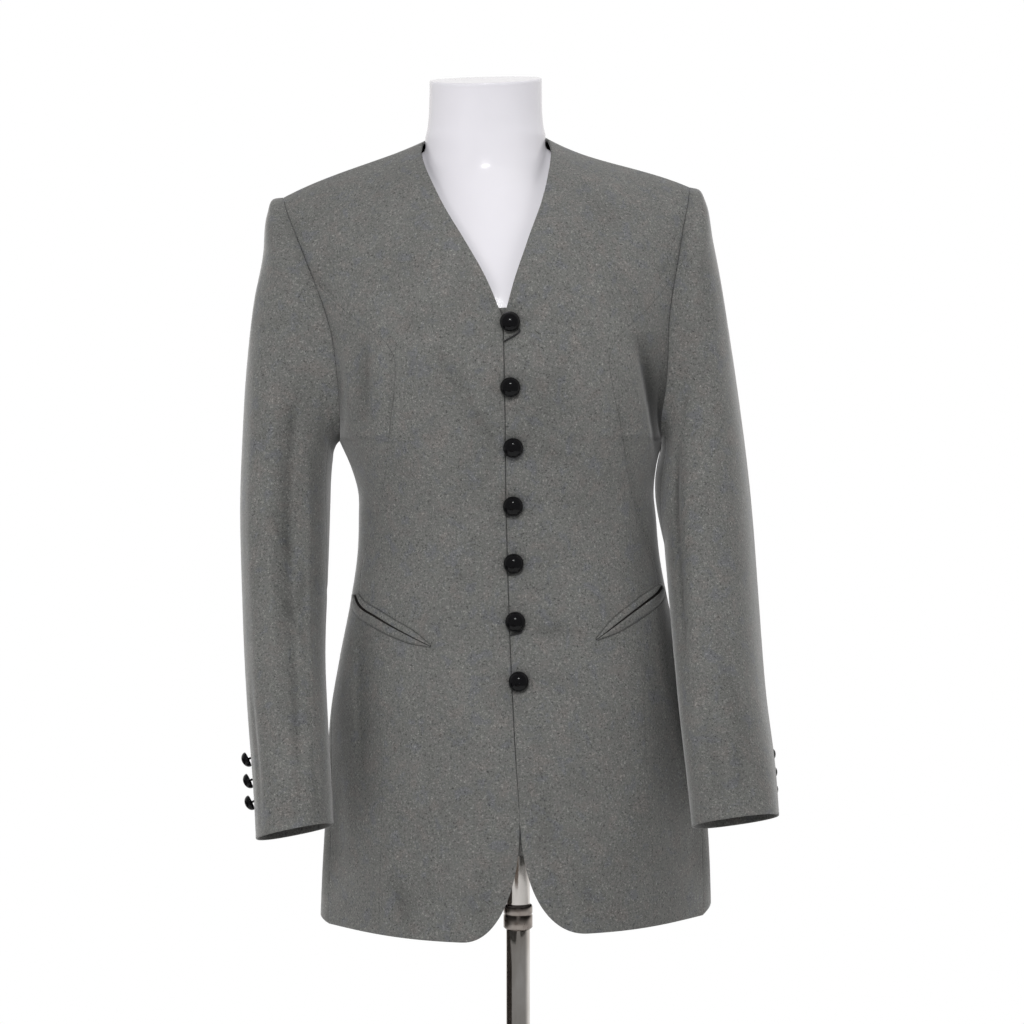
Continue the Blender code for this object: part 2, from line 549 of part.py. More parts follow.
def drawn_in(points, distance):
    """Move the borders of a grid inwards along the cloth."""
    moved = points.copy()
    for edge, inner in (((0, slice(None)), (1, slice(None))), ((-1, slice(None)), (-2, slice(None))),
                        ((slice(None), 0), (slice(None), 1)), ((slice(None), -1), (slice(None), -2))):
        step = points[inner] - points[edge]
        moved[edge] += distance * step / np.linalg.norm(step, axis=-1)[:, None]
    return moved


def wall(name, outer, inner, sign, material):
    """A closed wall between two grids of points, in mm."""
    rows, columns = outer.shape[:2]
    points = np.concatenate([outer.reshape(-1, 3), inner.reshape(-1, 3)]) * MM
    under = rows * columns
    quads = []
    for r in range(rows - 1):
        for c in range(columns - 1):
            a = r * columns + c
            face = (a, a + 1, a + columns + 1, a + columns)
            quads.append(face)
            quads.append(tuple(i + under for i in reversed(face)))
    rim = ([(0, c) for c in range(columns)] + [(r, columns - 1) for r in range(1, rows)]
           + [(rows - 1, c) for c in range(columns - 2, -1, -1)] + [(r, 0) for r in range(rows - 2, 0, -1)])
    ring = [r * columns + c for r, c in rim]
    for a, b in zip(ring, ring[1:] + ring[:1]):
        if a < b:       # the edge's faces are split alike on both sides of a seam
            quads += [(b, a, b + under), (a, a + under, b + under)]
        else:
            quads += [(b, a, a + under), (b, a + under, b + under)]
    if sign < 0:
        quads = [tuple(reversed(face)) for face in quads]
    mesh = bpy.data.meshes.new(name)
    mesh.from_pydata([tuple(p) for p in points], [], quads)
    return add_object(name, mesh, material)


def cloth_walls(grids):
    """Turn named grids into walls: {name: (points, sign)}."""
    normals = outward_normals(grids)
    for name, (points, sign) in grids.items():
        outer = drawn_in(points, SEAM_GAP / 2)
        wall(name, outer, outer - WALL * normals[name], sign, "wool")


# ------------------------------------------------------------------ materials and objects

MATERIALS = {
    "wool": ((0.14, 0.145, 0.135), 0.95, 0.0),
    "button": ((0.006, 0.006, 0.007), 0.08, 0.0),
    "cord": ((0.02, 0.02, 0.02), 0.8, 0.0),
    "form": ((0.78, 0.77, 0.8), 0.18, 0.0),
    "chrome": ((0.75, 0.74, 0.73), 0.12, 1.0),
    "base": ((0.6, 0.6, 0.6), 0.3, 1.0)}


def principled(name):
    """A material from the table of colours."""
    colour, roughness, metallic = MATERIALS[name]
    material = bpy.data.materials.new(name)
    material.use_nodes = True
    shader = material.node_tree.nodes["Principled BSDF"]
    shader.inputs["Base Color"].default_value = (*colour, 1.0)
    shader.inputs["Roughness"].default_value = roughness
    shader.inputs["Metallic"].default_value = metallic
    return material


def add_object(name, data, material):
    """Link one named piece with a material of its own."""
    piece = bpy.data.objects.new(name, data)
    data.materials.append(principled(material))
    parts.objects.link(piece)
    if isinstance(data, bpy.types.Mesh):
        data.shade_smooth()
        data.set_sharp_from_angle(angle=math.radians(40))
    return piece


def loft(name, rings, material):
    """A closed solid through rings of points in mm, bottom to top, each anticlockwise from above."""
    count = len(rings[0])
    points = [tuple(p * MM) for ring in rings for p in ring]
    faces = [tuple(reversed(range(count)))]
    for r in range(len(rings) - 1):
        for i in range(count):
            j = (i + 1) % count
            low, high = r * count, (r + 1) * count
            faces.append((low + i, low + j, high + j, high + i))
    top = (len(rings) - 1) * count
    faces.append(tuple(top + i for i in range(count)))
    mesh = bpy.data.meshes.new(name)
    mesh.from_pydata(points, [], faces)
    return add_object(name, mesh, material)


FORM_SIDES = 32


def form_ring(z):
    """One ring of the form: the torso's and the neck's outlines, smoothly joined."""
    torso = {name: column(TORSO, name, z, key="z") for name in TORSO}
    neck = {name: column(NECK, name, z, key="z") for name in NECK}
    angle = np.radians(np.arange(FORM_SIDES) * 360 / FORM_SIDES)
    cosine, sine = np.cos(angle), np.sin(angle)

    def radius(shape, power):
        half = np.where(sine < 0, torso["middle"] - shape["front"], shape["back"] - torso["middle"])
        return (np.abs(cosine / shape["width"]) ** power + np.abs(sine / half) ** power) ** (-1 / power)

    reach = (radius(torso, torso["power"]) ** NECK_BLEND + radius(neck, 2) ** NECK_BLEND) \
        ** (1 / NECK_BLEND)
    y = torso["middle"] + reach * sine
    return np.stack([reach * cosine, y, z + neck["tilt"] * y], -1)


def build_form():
    loft("form_torso", [world_point(form_ring(z), WEARER_LEFT) for z in TORSO["z"]], "form")


# ------------------------------------------------------------------ what lies on the cloth

SPOT_ROUNDS = 5           # rounds that find a point of the front by its height


def front_spot(side, x, z):
    """A point of the front's outer surface at x and z, and its outward normal, in world mm."""
    x = np.atleast_1d(np.asarray(x, float))
    z = np.atleast_1d(np.asarray(z, float))
    level = z.copy()
    for _ in range(SPOT_ROUNDS):
        share = share_at_x(front_controls, level, x, side)
        level = level + z - front_surface(level, share, side)[:, 2]
    step = 0.5
    share = np.minimum(share, 1 - 2 * step * MM)
    here = world_point(front_surface(level, share, side), side)
    above = world_point(front_surface(level + step, share, side), side)
    beside = world_point(front_surface(level, share + step * MM, side), side)
    normal = side * np.cross(beside - here, above - here)
    return here, normal / np.linalg.norm(normal, axis=1)[:, None]


def sleeve_spot(side, down):
    """A point of the sleeve's back seam, its outward normal and the seam's direction downwards."""
    angle = column(SLEEVE_SEAMS[side], "back", np.array([down]), key="down")
    step = 1.0
    down = np.array([float(down)])
    here = world_point(sleeve_points(side, down, angle), side)[0]
    lower = world_point(sleeve_points(side, down + step, angle), side)[0]
    beside = world_point(sleeve_points(side, down, angle + step), side)[0]
    normal = -side * np.cross(lower - here, beside - here)
    return here, normal / np.linalg.norm(normal), (lower - here) / np.linalg.norm(lower - here)


def turned(name, profile, steps, material):
    """A piece turned round its own Z axis; the profile runs down its outer side, in mm."""
    mesh = bpy.data.meshes.new(name)
    points = [(r * MM, 0, z * MM) for r, z in profile]
    mesh.from_pydata(points, [(i, i + 1) for i in range(len(points) - 1)], [])
    piece = add_object(name, mesh, material)
    screw = piece.modifiers.new("Screw", "SCREW")
    screw.axis = "Z"
    screw.steps = steps
    screw.render_steps = steps
    screw.use_merge_vertices = True
    screw.merge_threshold = 0.00001
    return piece


DOME_ANGLES = (0, 22, 42, 60, 77, 90)
BUTTON_FOOT = 0.95        # the underside's share of the rim's radius
FRONT_BUTTON_STEPS = 14
CUFF_BUTTON_STEPS = 12


def button(name, place, direction, radius, dome, shank, steps):
    """A domed shank button that stands on the cloth at a place."""
    arc = [math.radians(a) for a in DOME_ANGLES]
    rim = BUTTON_STAND + BUTTON_RIM
    profile = [(radius * math.sin(a), rim + dome * math.cos(a)) for a in arc]
    profile += [(BUTTON_FOOT * radius, BUTTON_STAND), (shank, BUTTON_STAND), (shank, 0), (0, 0)]
    piece = turned(name, profile, steps, "button")
    piece.location = place * MM
    piece.rotation_euler = Vector(direction).to_track_quat("Z", "Y").to_euler()


def build_front_buttons():
    side = WEARER_LEFT
    rows = zip(*FRONT_BUTTONS.values())
    for number, (off, z, turn_out, turn_down, drop) in enumerate(rows, 1):
        x = column(CLOSURE, "x", z) + off
        spot, normal = front_spot(side, x, z)
        button(f"front_button_{number}", spot[0] + LIE_GAP * normal[0], normal[0], BUTTON_RADIUS,
               BUTTON_DOME, SHANK_RADIUS, FRONT_BUTTON_STEPS)
        build_loop(f"button_loop_{number}", x, z, off, turn_out, turn_down, drop)


def loop_route(off, turn_out, turn_down, drop):
    """Where a loop runs, across and up from the shank."""
    slant = LOOP_BEND * math.sqrt(0.5)
    return [(LOOP_START[0] - off, LOOP_START[1]), (-slant, slant), (0, LOOP_BEND), (slant, slant),
            (LOOP_BEND, 0), (max(slant, turn_out), -slant - turn_down / 4), (turn_out, -turn_down),
            (-off - 1, -drop)]


def build_loop(name, x, z, off, turn_out, turn_down, drop):
    """A thin cord from the overlapping front's edge, round the shank and back to the edge."""
    points = []
    for across, up in loop_route(off, turn_out, turn_down, drop):
        spot, normal = front_spot(WEARER_LEFT, x + across, z + up)
        points.append((spot[0] + LOOP_RISE * normal[0]) * MM)
    curve = bpy.data.curves.new(name, "CURVE")
    curve.dimensions = "3D"
    curve.bevel_depth = LOOP_RADIUS * MM
    curve.bevel_resolution = 1
    curve.use_fill_caps = True
    spline = curve.splines.new("POLY")
    spline.points.add(len(points) - 1)
    for target, point in zip(spline.points, points):
        target.co = (*point, 1)
    add_object(name, curve, "cord")


def build_cuff_buttons():
    for side, word in SIDE_NAMES.items():
        for number, down in enumerate(CUFF_BUTTONS, 1):
            spot, normal, along = sleeve_spot(side, down)
            droop = math.radians(CUFF_DROOP)
            direction = math.cos(droop) * normal + math.sin(droop) * along
            stand = LIE_GAP + CUFF_SHANK_RADIUS * math.sin(droop)
            button(f"cuff_button_{word}_{number}", spot + stand * normal, direction,
                   CUFF_BUTTON_RADIUS, CUFF_BUTTON_DOME, CUFF_SHANK_RADIUS,
                   CUFF_BUTTON_STEPS)


def build_pockets():
    """Two jets lie along each slit, one above and one below it."""
    for side, word in SIDE_NAMES.items():
        rows = POCKETS[side]
        along = np.linspace(0, 1, JET_COLUMNS)
        run = np.linspace(0, 1, len(rows["x"]))
        slit = {name: np.interp(along, run, values) for name, values in rows.items()}
        fall = np.gradient(slit["z"], slit["x"])
        across = np.stack([-fall, np.ones_like(fall)], 1) / np.sqrt(1 + fall ** 2)[:, None]
        for jet, sign in (("upper", 1), ("lower", -1)):
            lines = []
            for part in (0, 0.5, 1):
                away = sign * (slit["gape"] + part * slit[jet])
                spot, normal = front_spot(side, slit["x"] + away * across[:, 0],
                                          slit["z"] + away * across[:, 1])
                lines.append((spot + JET_GAP * normal, normal))
            inner = np.stack([spot for spot, _ in lines])
            normals = np.stack([normal for _, normal in lines])
            wall(f"pocket_{jet}_jet_{word}", inner + JET_WALL * normals, inner, -side * sign, "wool")


UNDERLAP_ROWS = 24


def build_underlap():
    """The strip behind the closed edges; it shows at the V's foot and above the vent."""
    levels = np.linspace(UNDERLAP_FOOT, UNDERLAP_TOP, UNDERLAP_ROWS)
    outer = np.zeros((len(levels), len(UNDERLAP), 3))
    for c, off in enumerate(UNDERLAP):
        side = WEARER_RIGHT if off < 0 else WEARER_LEFT
        x = side * (column(CLOSURE, "x", levels) + off)
        spot, _ = front_spot(side, np.maximum(x, column(OPENING, "x", levels)), levels)
        outer[:, c] = spot
        outer[:, c, 0] = column(CENTRE_LINE, "x", levels, key="z") + column(CLOSURE, "x", levels) + off
        outer[:, c, 1] += WALL + UNDERLAP_GAP
    inner = outer + np.array([0, UNDERLAP_WALL, 0])
    wall("underlap", outer, inner, WEARER_LEFT, "wool")


# ------------------------------------------------------------------ stand

POLE_SIDES = 24
BASE_STEPS = 48


def build_stand():
    """A pole with a collar ring, on a round base."""
    def cylinder(name, radius, low, high):
        mesh = bpy.data.meshes.new(name)
        shape = bmesh.new()
        bmesh.ops.create_cone(shape, cap_ends=True, segments=POLE_SIDES, radius1=radius * MM,
                              radius2=radius * MM, depth=(high - low) * MM)
        bmesh.ops.translate(shape, verts=shape.verts, vec=(0, 0, (low + high) / 2 * MM))
        shape.to_mesh(mesh)
        shape.free()
        add_object(name, mesh, "chrome")

    cylinder("pole_lower", POLE_RADIUS, HUB_TOP + FACE_GAP, COLLAR_FOOT - FACE_GAP)
    cylinder("pole_collar", COLLAR_RADIUS, COLLAR_FOOT, COLLAR_TOP)
    cylinder("pole_upper", POLE_RADIUS, COLLAR_TOP + FACE_GAP, TORSO["z"][0] - FACE_GAP)
    turned("stand_base", [
        (0, HUB_TOP), (HUB_RADIUS - 2, HUB_TOP), (HUB_RADIUS, HUB_TOP - 2),
        (HUB_RADIUS + 2, BASE_WALL + 3), (HUB_RADIUS + 8, BASE_WALL),
        (BASE_RADIUS - BASE_EDGE, BASE_WALL), (BASE_RADIUS, BASE_WALL - BASE_EDGE),
        (BASE_RADIUS, 1), (BASE_RADIUS - 1, 0), (0, 0)], BASE_STEPS, "base")


# ------------------------------------------------------------------ build

def clear_scene():
    for item in list(bpy.data.objects):
        bpy.data.objects.remove(item)


def build_body():
    grids = {}
    for side, word in SIDE_NAMES.items():
        grids["front_" + word] = (world_point(front_panel(side), side), side)
        grids["side_front_" + word] = (world_point(side_front_panel(side), side), side)
        grids["back_" + word] = (world_point(back_panel(side), side), -side)
    cloth_walls(grids)


def build_sleeves():
    for side, word in SIDE_NAMES.items():
        top = sleeve_half(side, "back", "front", TOP_COLUMNS, -360)
        under = sleeve_half(side, "front", "back", UNDER_COLUMNS, 0)
        cloth_walls({
            "sleeve_top_" + word: (world_point(top, side), side),
            "sleeve_under_" + word: (world_point(under, side), side)})


clear_scene()
parts = bpy.data.collections.new(OBJECT_NAME)
bpy.context.scene.collection.children.link(parts)
build_body()
build_sleeves()
build_form()
build_underlap()
build_pockets()
build_front_buttons()
build_cuff_buttons()
build_stand()
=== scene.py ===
"""
Looks for the blazer on a dress form: the same named sizes as the part's source, drawn finely.

Tables are in mm in the garment's own frame, as in the source: x runs outwards from the centre
line on either side, y backwards, z up. Blender's own units are metres; the front faces -Y.
"""
import math

import bmesh
import bpy
import numpy as np
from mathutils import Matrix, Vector


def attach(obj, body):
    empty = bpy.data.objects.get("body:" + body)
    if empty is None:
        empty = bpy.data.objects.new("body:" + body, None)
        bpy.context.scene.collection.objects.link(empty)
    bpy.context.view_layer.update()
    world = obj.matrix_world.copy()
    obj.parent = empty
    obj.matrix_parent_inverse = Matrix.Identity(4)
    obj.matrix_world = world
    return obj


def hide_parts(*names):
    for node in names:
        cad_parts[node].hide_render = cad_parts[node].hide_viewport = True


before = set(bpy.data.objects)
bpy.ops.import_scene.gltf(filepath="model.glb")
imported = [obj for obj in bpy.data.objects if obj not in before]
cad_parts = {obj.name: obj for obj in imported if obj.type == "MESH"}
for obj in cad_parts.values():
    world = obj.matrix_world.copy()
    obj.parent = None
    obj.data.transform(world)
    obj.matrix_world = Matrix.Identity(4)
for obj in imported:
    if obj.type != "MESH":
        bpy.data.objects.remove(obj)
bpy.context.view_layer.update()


# ------------------------------------------------------------------ camera, light and floor

CAMERA_PLACE = (-0.0058, -2.5, 1.11)
CAMERA_PITCH = 1.7          # degrees below the level
CAMERA_LENS = 91.55
FLOOR_REACH = 1.7


def add_camera():
    data = bpy.data.cameras.new("camera")
    data.sensor_width = 36
    data.lens = CAMERA_LENS
    camera = bpy.data.objects.new("camera", data)
    camera.location = CAMERA_PLACE
    camera.rotation_euler = (math.radians(90 - CAMERA_PITCH), 0, 0)
    bpy.context.scene.collection.objects.link(camera)
    bpy.context.scene.camera = camera


def area_light(name, place, target, width, height, power, mirrored=False):
    """A soft oval light; mirrored says whether glossy pieces show it as a highlight."""
    data = bpy.data.lights.new(name, "AREA")
    data.shape = "ELLIPSE"
    data.size = width
    data.size_y = height
    data.energy = power
    light = bpy.data.objects.new(name, data)
    light.location = place
    light.rotation_euler = (Vector(target) - Vector(place)).to_track_quat("-Z", "Y").to_euler()
    light.visible_glossy = mirrored
    bpy.context.scene.collection.objects.link(light)


def add_world():
    """A pale studio: bright behind the garment, dimmer on the camera's side."""
    world = bpy.data.worlds.new("studio")
    world.use_nodes = True
    tree = world.node_tree
    tree.nodes.clear()
    direction = tree.nodes.new("ShaderNodeTexCoord")
    parts = tree.nodes.new("ShaderNodeSeparateXYZ")
    tree.links.new(direction.outputs["Generated"], parts.inputs[0])
    ramp = tree.nodes.new("ShaderNodeMapRange")
    ramp.interpolation_type = "SMOOTHSTEP"
    for socket, value in (("From Min", -0.4), ("From Max", 0.7), ("To Min", STUDIO_FRONT),
                          ("To Max", STUDIO_BACK)):
        ramp.inputs[socket].default_value = value
    tree.links.new(parts.outputs["Y"], ramp.inputs["Value"])
    around = tree.nodes.new("ShaderNodeBackground")
    around.inputs["Color"].default_value = (1.0, 0.99, 0.975, 1)
    tree.links.new(ramp.outputs["Result"], around.inputs["Strength"])
    seen = tree.nodes.new("ShaderNodeBackground")
    seen.inputs["Color"].default_value = (1, 1, 1, 1)
    seen.inputs["Strength"].default_value = 1.0
    path = tree.nodes.new("ShaderNodeLightPath")
    mix = tree.nodes.new("ShaderNodeMixShader")
    tree.links.new(path.outputs["Is Camera Ray"], mix.inputs["Fac"])
    tree.links.new(around.outputs[0], mix.inputs[1])
    tree.links.new(seen.outputs[0], mix.inputs[2])
    output = tree.nodes.new("ShaderNodeOutputWorld")
    tree.links.new(mix.outputs[0], output.inputs[0])
    bpy.context.scene.world = world


def add_flag(name, place, width, height, turn, shade):
    """An upright studio panel outside the view, which only shows in the polished tube."""
    mesh = bpy.data.meshes.new(name)
    half = width / 2
    mesh.from_pydata([(-half, 0, 0), (half, 0, 0), (half, 0, height), (-half, 0, height)], [],
                     [(0, 1, 2, 3)])
    material = bpy.data.materials.new(name)
    material.use_nodes = True
    shader = material.node_tree.nodes["Principled BSDF"]
    shader.inputs["Base Color"].default_value = (*shade, 1)
    shader.inputs["Roughness"].default_value = 0.9
    mesh.materials.append(material)
    panel = bpy.data.objects.new(name, mesh)
    panel.location = place
    panel.rotation_euler = (0, 0, math.radians(turn))
    bpy.context.scene.collection.objects.link(panel)
    panel.visible_camera = panel.visible_diffuse = panel.visible_shadow = False


STUDIO_FRONT = 0.29
STUDIO_BACK = 1.0

bpy.context.scene.view_settings.view_transform = "Standard"
add_camera()
add_world()
area_light("key", (-0.14, -2.1, 2.1), (0, -0.1, 1.33), 0.8, 0.8, 22.5)
area_light("spark", (-0.05, -2.3, 2.33), (-0.03, -0.05, 1.2), 0.6, 0.28, 11, mirrored=True)
area_light("side_right", (1.7, -0.2, 2.5), (0.15, 0, 1.35), 1.0, 1.0, 9)
area_light("side_left", (-1.3, -1.7, 1.35), (-0.12, 0, 1.05), 1.0, 1.0, 8)


# ------------------------------------------------------------------ the part's own sizes and curves

MM = 0.001

WALL = 2.0                # wool cloth with its lining
LIE_GAP = 0.3             # under a piece that lies on another
WEARER_RIGHT = -1         # the side at -X, the viewer's left; its front laps over
WEARER_LEFT = 1
SIDE_NAMES = {WEARER_RIGHT: "right", WEARER_LEFT: "left"}

ARMPIT = 1104.0           # level where the side seam meets the armhole
V_FOOT = 1216.0           # level where the neckline meets the front edges
NECK_POINT = 1391.5       # front level of the shoulder seam's inner end
BACK_NECK = 1398.0        # back level of the centre-back neck
BACK_SHOULDER = 1452.0    # back level of the shoulder seam
SEAM_TOP = 1278.0         # level where the princess seam meets the armhole
HEM_FADE = 800.0          # the hem's line shapes the rows below this level
LOWEST = 640.0            # first level of the tables

FRONT_HEM = {WEARER_RIGHT: 644.0, WEARER_LEFT: 651.8}    # lowest points of the front hem
CORNER_WIDTH = {WEARER_RIGHT: 48.0, WEARER_LEFT: 58.0}   # the rounded corner at the front hem
CORNER_TOP = 759.4
CORNER_POWER = 2.2
HEM_REACH = 195.0         # girth from the front edge to the side seam at the hem
HEM_BEND = 1.5            # how late the hem rises towards the side seam
SIDE_HEM = {WEARER_RIGHT: 643.0, WEARER_LEFT: 651.0}
BACK_HEM = 669.0
BACK_HEM_BEND = {WEARER_RIGHT: 2, WEARER_LEFT: 6}   # how suddenly the back hem falls to the side


def table(columns, rows):
    """Name the columns of a table of numbers."""
    values = np.array(rows, float)
    return {name: values[:, i] for i, name in enumerate(columns.split())}

SHOULDER_TILT = 0.025      # the wearer's left shoulder sits higher than the right one
TILT_FROM = 1120.0        # the tilt grows between these heights
TILT_TO = 1300.0

# The line that the garment and the form lean along: their middle, seen from the front.
CENTRE_LINE = table("z x", [
    (640, -2), (760, -2), (860, -6), (1030, -10), (1120, -12), (1180, -15), (1260, -22),
    (1340, -30), (1460, -31)])

# Where the closed front edges lie, off the centre line, and half the width between them.
CLOSURE = table("level x", [
    (640, 3.3), (745, 3.3), (815, 1.6), (870, 1), (930, 0), (1120, 0), (1190, 2.4), (1226, 4.4),
    (1300, 5), (1340, 4.3), (1371, 1.8), (1391.5, 0)])
OPENING = table("level x", [
    (640, 0.2), (900, 0.2), (1216, 0.2), (1226, 3.5), (1252, 12.4), (1290, 29), (1329, 46.9),
    (1350, 54.4), (1371, 60.4), (1381, 62), (1391.5, 60)])

# How far the shoulder line arches up near the neck and near the sleeve.
SHOULDER_ARCH = {WEARER_RIGHT: (-2.0, 6.0), WEARER_LEFT: (-9.0, 5.0)}

# Front rows: y at the start, how far the middle swells forward, the curve's two reaches, and the
# row's share of the shoulder's arch.
FRONT = table("level y swell reach reach_end arch", [
    (640, -128, 4, 95, 75, 0), (760, -124, 4, 92, 70, 0), (850, -116, 5, 88, 66, 0),
    (900, -109, 4, 84, 62, 0), (950, -103, 3, 80, 60, 0), (1000, -99, 2, 78, 58, 0),
    (1030, -99, 2, 80, 56, 0), (1066, -103, 3, 83, 64, 0), (1104, -109, 4, 86, 78, 0),
    (1114, -110.5, 4, 86, 60, 0), (1135, -113, 5, 87, 49, 0), (1165, -116, 6, 86, 47, 0),
    (1200, -116, 5, 84, 46, 0), (1226, -112, 3, 78, 44, 0), (1252, -108, 0, 64, 44, 0),
    (1290, -90, -2, 50, 42, 0), (1329, -60, -3, 42, 42, 0.2), (1350, -42, -3, 40, 42, 0.4),
    (1371, -20, -2, 38, 44, 0.7), (1391.5, 6, 0, 42, 45, 1)])

# The side seam, and the direction in which the cloth crosses it (degrees from +x towards +y).
SIDE_SEAM = table("level x y turn", [
    (640, 179, -25, 52), (700, 178, -23, 55), (760, 176, -20, 60), (850, 171.5, -13, 72),
    (900, 163, -8, 82), (950, 152.5, -2, 88), (1000, 144.5, 1, 90), (1030, 143, 2, 90),
    (1055, 143, 3, 90), (1078, 149, 4, 90), (1104, 160, 6, 90)])

# The armhole from the armpit to the shoulder point, round the front and round the back.
ARMHOLE_FRONT = table("level x y z turn", [
    (1104, 160, 6, 1104, 90), (1112, 158.5, -14, 1108, 86), (1130, 156.5, -34, 1124, 74),
    (1165, 156, -46, 1156, 60), (1200, 157, -50, 1187, 53), (1226, 159, -50, 1211, 48),
    (1252, 164, -47, 1235, 42), (1290, 175, -38, 1274, 34), (1329, 185, -24, 1308, 24),
    (1350, 190, -14, 1323, 16), (1371, 193.5, -3, 1336, 6), (1391.5, 195, 8, 1342.5, 0)])
ARMHOLE_BACK = table("level x y z turn", [
    (1104, 160, 6, 1104, 90), (1118, 159, 32, 1112, 106), (1140, 157, 50, 1130, 120),
    (1170, 157.5, 61, 1158, 128), (1226, 161, 66, 1203, 132), (1280, 169, 63, 1243, 136),
    (1330, 179, 53, 1280, 142), (1370, 186, 42, 1305, 150), (1398, 190, 32, 1320, 158),
    (1426, 193, 20, 1334, 168), (1452, 195, 8, 1342.5, 180)])

# Back rows: the centre back, then from BACK_NECK upwards the back neckline.
BACK = table("level x y z reach reach_end arch", [
    (640, 0, 118, 640, 74, 82, 0), (760, 0, 113, 760, 72, 78, 0), (850, 0, 107, 850, 70, 68, 0),
    (900, 0, 99, 900, 66, 59, 0), (950, 0, 89, 950, 62, 52, 0), (1000, 0, 81, 1000, 60, 50, 0),
    (1030, 0, 79, 1030, 60, 50, 0), (1066, 0, 81, 1066, 62, 58, 0), (1104, 0, 87, 1104, 66, 78, 0),
    (1120, 0, 89.5, 1120, 68, 50, 0), (1165, 0, 95, 1165, 70, 44, 0), (1226, 0, 98, 1226, 74, 40, 0),
    (1280, 0, 95, 1280, 76, 38, 0), (1330, 0, 86, 1330, 74, 36, 0), (1370, 0, 73, 1370, 70, 36, 0.2),
    (1398, 0, 60, 1398, 60, 36, 0.4), (1412, 22, 54, 1400, 56, 38, 0.5), (1426, 43, 40, 1400, 50, 40, 0.7),
    (1440, 56, 22, 1396, 44, 44, 0.9), (1452, 60, 6, 1391.5, 42, 45, 1)])

# The princess seam, from the hem up to the armhole.
PRINCESS = table("level x", [
    (640, 128), (700, 127), (800, 124), (880, 126), (920, 133), (955, 141), (1000, 135.5),
    (1026, 125), (1064, 115), (1124, 106.5), (1162, 100.5), (1188, 99), (1206, 107), (1234, 135),
    (1278, 173)])

# The largest folds of the fronts, each along a line: how deep (negative is a ridge) and how wide.
FRONT_FOLDS = {
    WEARER_RIGHT: table("x z x_end z_end depth width", [
        (130, 1206, 133, 1112, 2.6, 8), (146, 1200, 150, 1120, -1.6, 7),
        (112, 1196, 114, 1130, -1.4, 8), (64, 1192, 6, 1082, 1.2, 12),
        (88, 1176, 34, 1066, -1.6, 16), (139, 950, 137, 742, 2.2, 11),
        (116, 708, 98, 660, 1.8, 9), (104, 902, 84, 790, -1.2, 10)]),
    WEARER_LEFT: table("x z x_end z_end depth width", [
        (127, 1212, 139, 1108, 3, 10), (112, 1200, 120, 1120, -1.8, 9),
        (60, 1190, 14, 1090, 1, 14), (18, 1092, 74, 1084, 1.2, 8),
        (16, 930, 76, 926, 1.4, 9), (140, 950, 138, 760, 1.8, 12)])}
FOLD_MARGIN = 0.08        # share of a row over which the folds fade out at its end

# Folds of the sleeves, by the distance down and the angle round the ring.
SLEEVE_FOLDS = {
    WEARER_RIGHT: table("down angle down_end angle_end depth width", [
        (60, 96, 560, 84, 2.4, 13), (90, 52, 600, 46, -1.8, 12), (330, 140, 420, 92, 1.6, 9),
        (300, 250, 400, 300, 2, 12), (60, 285, 330, 300, 2, 14)]),
    WEARER_LEFT: table("down angle down_end angle_end depth width", [
        (70, 124, 420, 116, 2.4, 13), (200, 96, 460, 100, -1.4, 10), (470, 70, 600, 52, 1.8, 12),
        (300, 250, 400, 300, 2, 12), (60, 285, 330, 300, 2, 14)])}

# The wearer's left armpit is pushed in by its sleeve: most at one height, fading above and below.
TUCK = {WEARER_RIGHT: 0.0, WEARER_LEFT: 9.0}
TUCK_HEIGHT = 1108.0
TUCK_FADE = 45.0

# Sleeve rings from the armhole down: outer and inner edge seen from the front, the middle's y,
# the depth from front to back, how much higher the front is than the back, how far the front and
# back points bow in towards the body, and how far the ring leans, its back outwards.
SLEEVE_COLUMNS = "down outer_x outer_z inner_x inner_z y depth rise bow lean"
SLEEVES = {
    WEARER_RIGHT: table(SLEEVE_COLUMNS, [
        (0, 195, 1342.5, 160, 1104, 8, 116, -18, 16, 0),
        (10, 205, 1341, 163, 1101, 8, 119, -10, 12, 0),
        (25, 211.5, 1327, 166, 1095, 8, 122, -4, 8, 0),
        (60, 219, 1290, 168, 1084, 8, 124, 0, 4, 0),
        (110, 231.5, 1246, 169.5, 1068, 6, 124, 0, 1, 0),
        (180, 243.5, 1186, 170.5, 1044, 3, 124, 0, 0, 0),
        (260, 251.5, 1118, 171.5, 1012, -2, 122, 0, 0, 2),
        (340, 255.5, 1042, 173, 970, -12, 118, 4, 0, 4),
        (430, 253.5, 945, 175, 905, -35, 112, 14, 0, 6),
        (520, 249.5, 865, 173, 842, -60, 106, 24, 0, 6),
        (590, 245, 790, 171, 790, -80, 100, 22, 0, 4),
        (640, 241.5, 734, 170, 748.5, -92, 96, 20, 0, 0)]),
    WEARER_LEFT: table(SLEEVE_COLUMNS, [
        (0, 195, 1342.5, 151, 1104, 8, 116, -18, 16, 0),
        (10, 203.5, 1340, 152.5, 1101, 8, 119, -10, 12, 0),
        (25, 209, 1328, 153, 1095, 8, 122, -4, 8, 0),
        (60, 212, 1291, 152.5, 1084, 8, 124, 0, 4, 0),
        (110, 216, 1250, 151, 1068, 6, 124, 0, 1, 2),
        (180, 221, 1192, 149.5, 1044, 3, 124, 0, 0, 6),
        (260, 227, 1126, 149, 1012, -4, 122, 0, 0, 10),
        (340, 233.5, 1048, 151, 968, -18, 118, 4, 0, 14),
        (430, 237, 955, 154, 902, -42, 112, 14, 0, 17),
        (520, 239.5, 872, 157, 838, -66, 106, 24, 0, 17),
        (590, 243.5, 804, 160, 784, -84, 100, 24, 0, 12),
        (640, 244.5, 757, 162.5, 745.5, -93, 96, 21, 0, 6)])}
CAP_BLEND = 60.0          # the rings take on the armhole's shape this far down from it
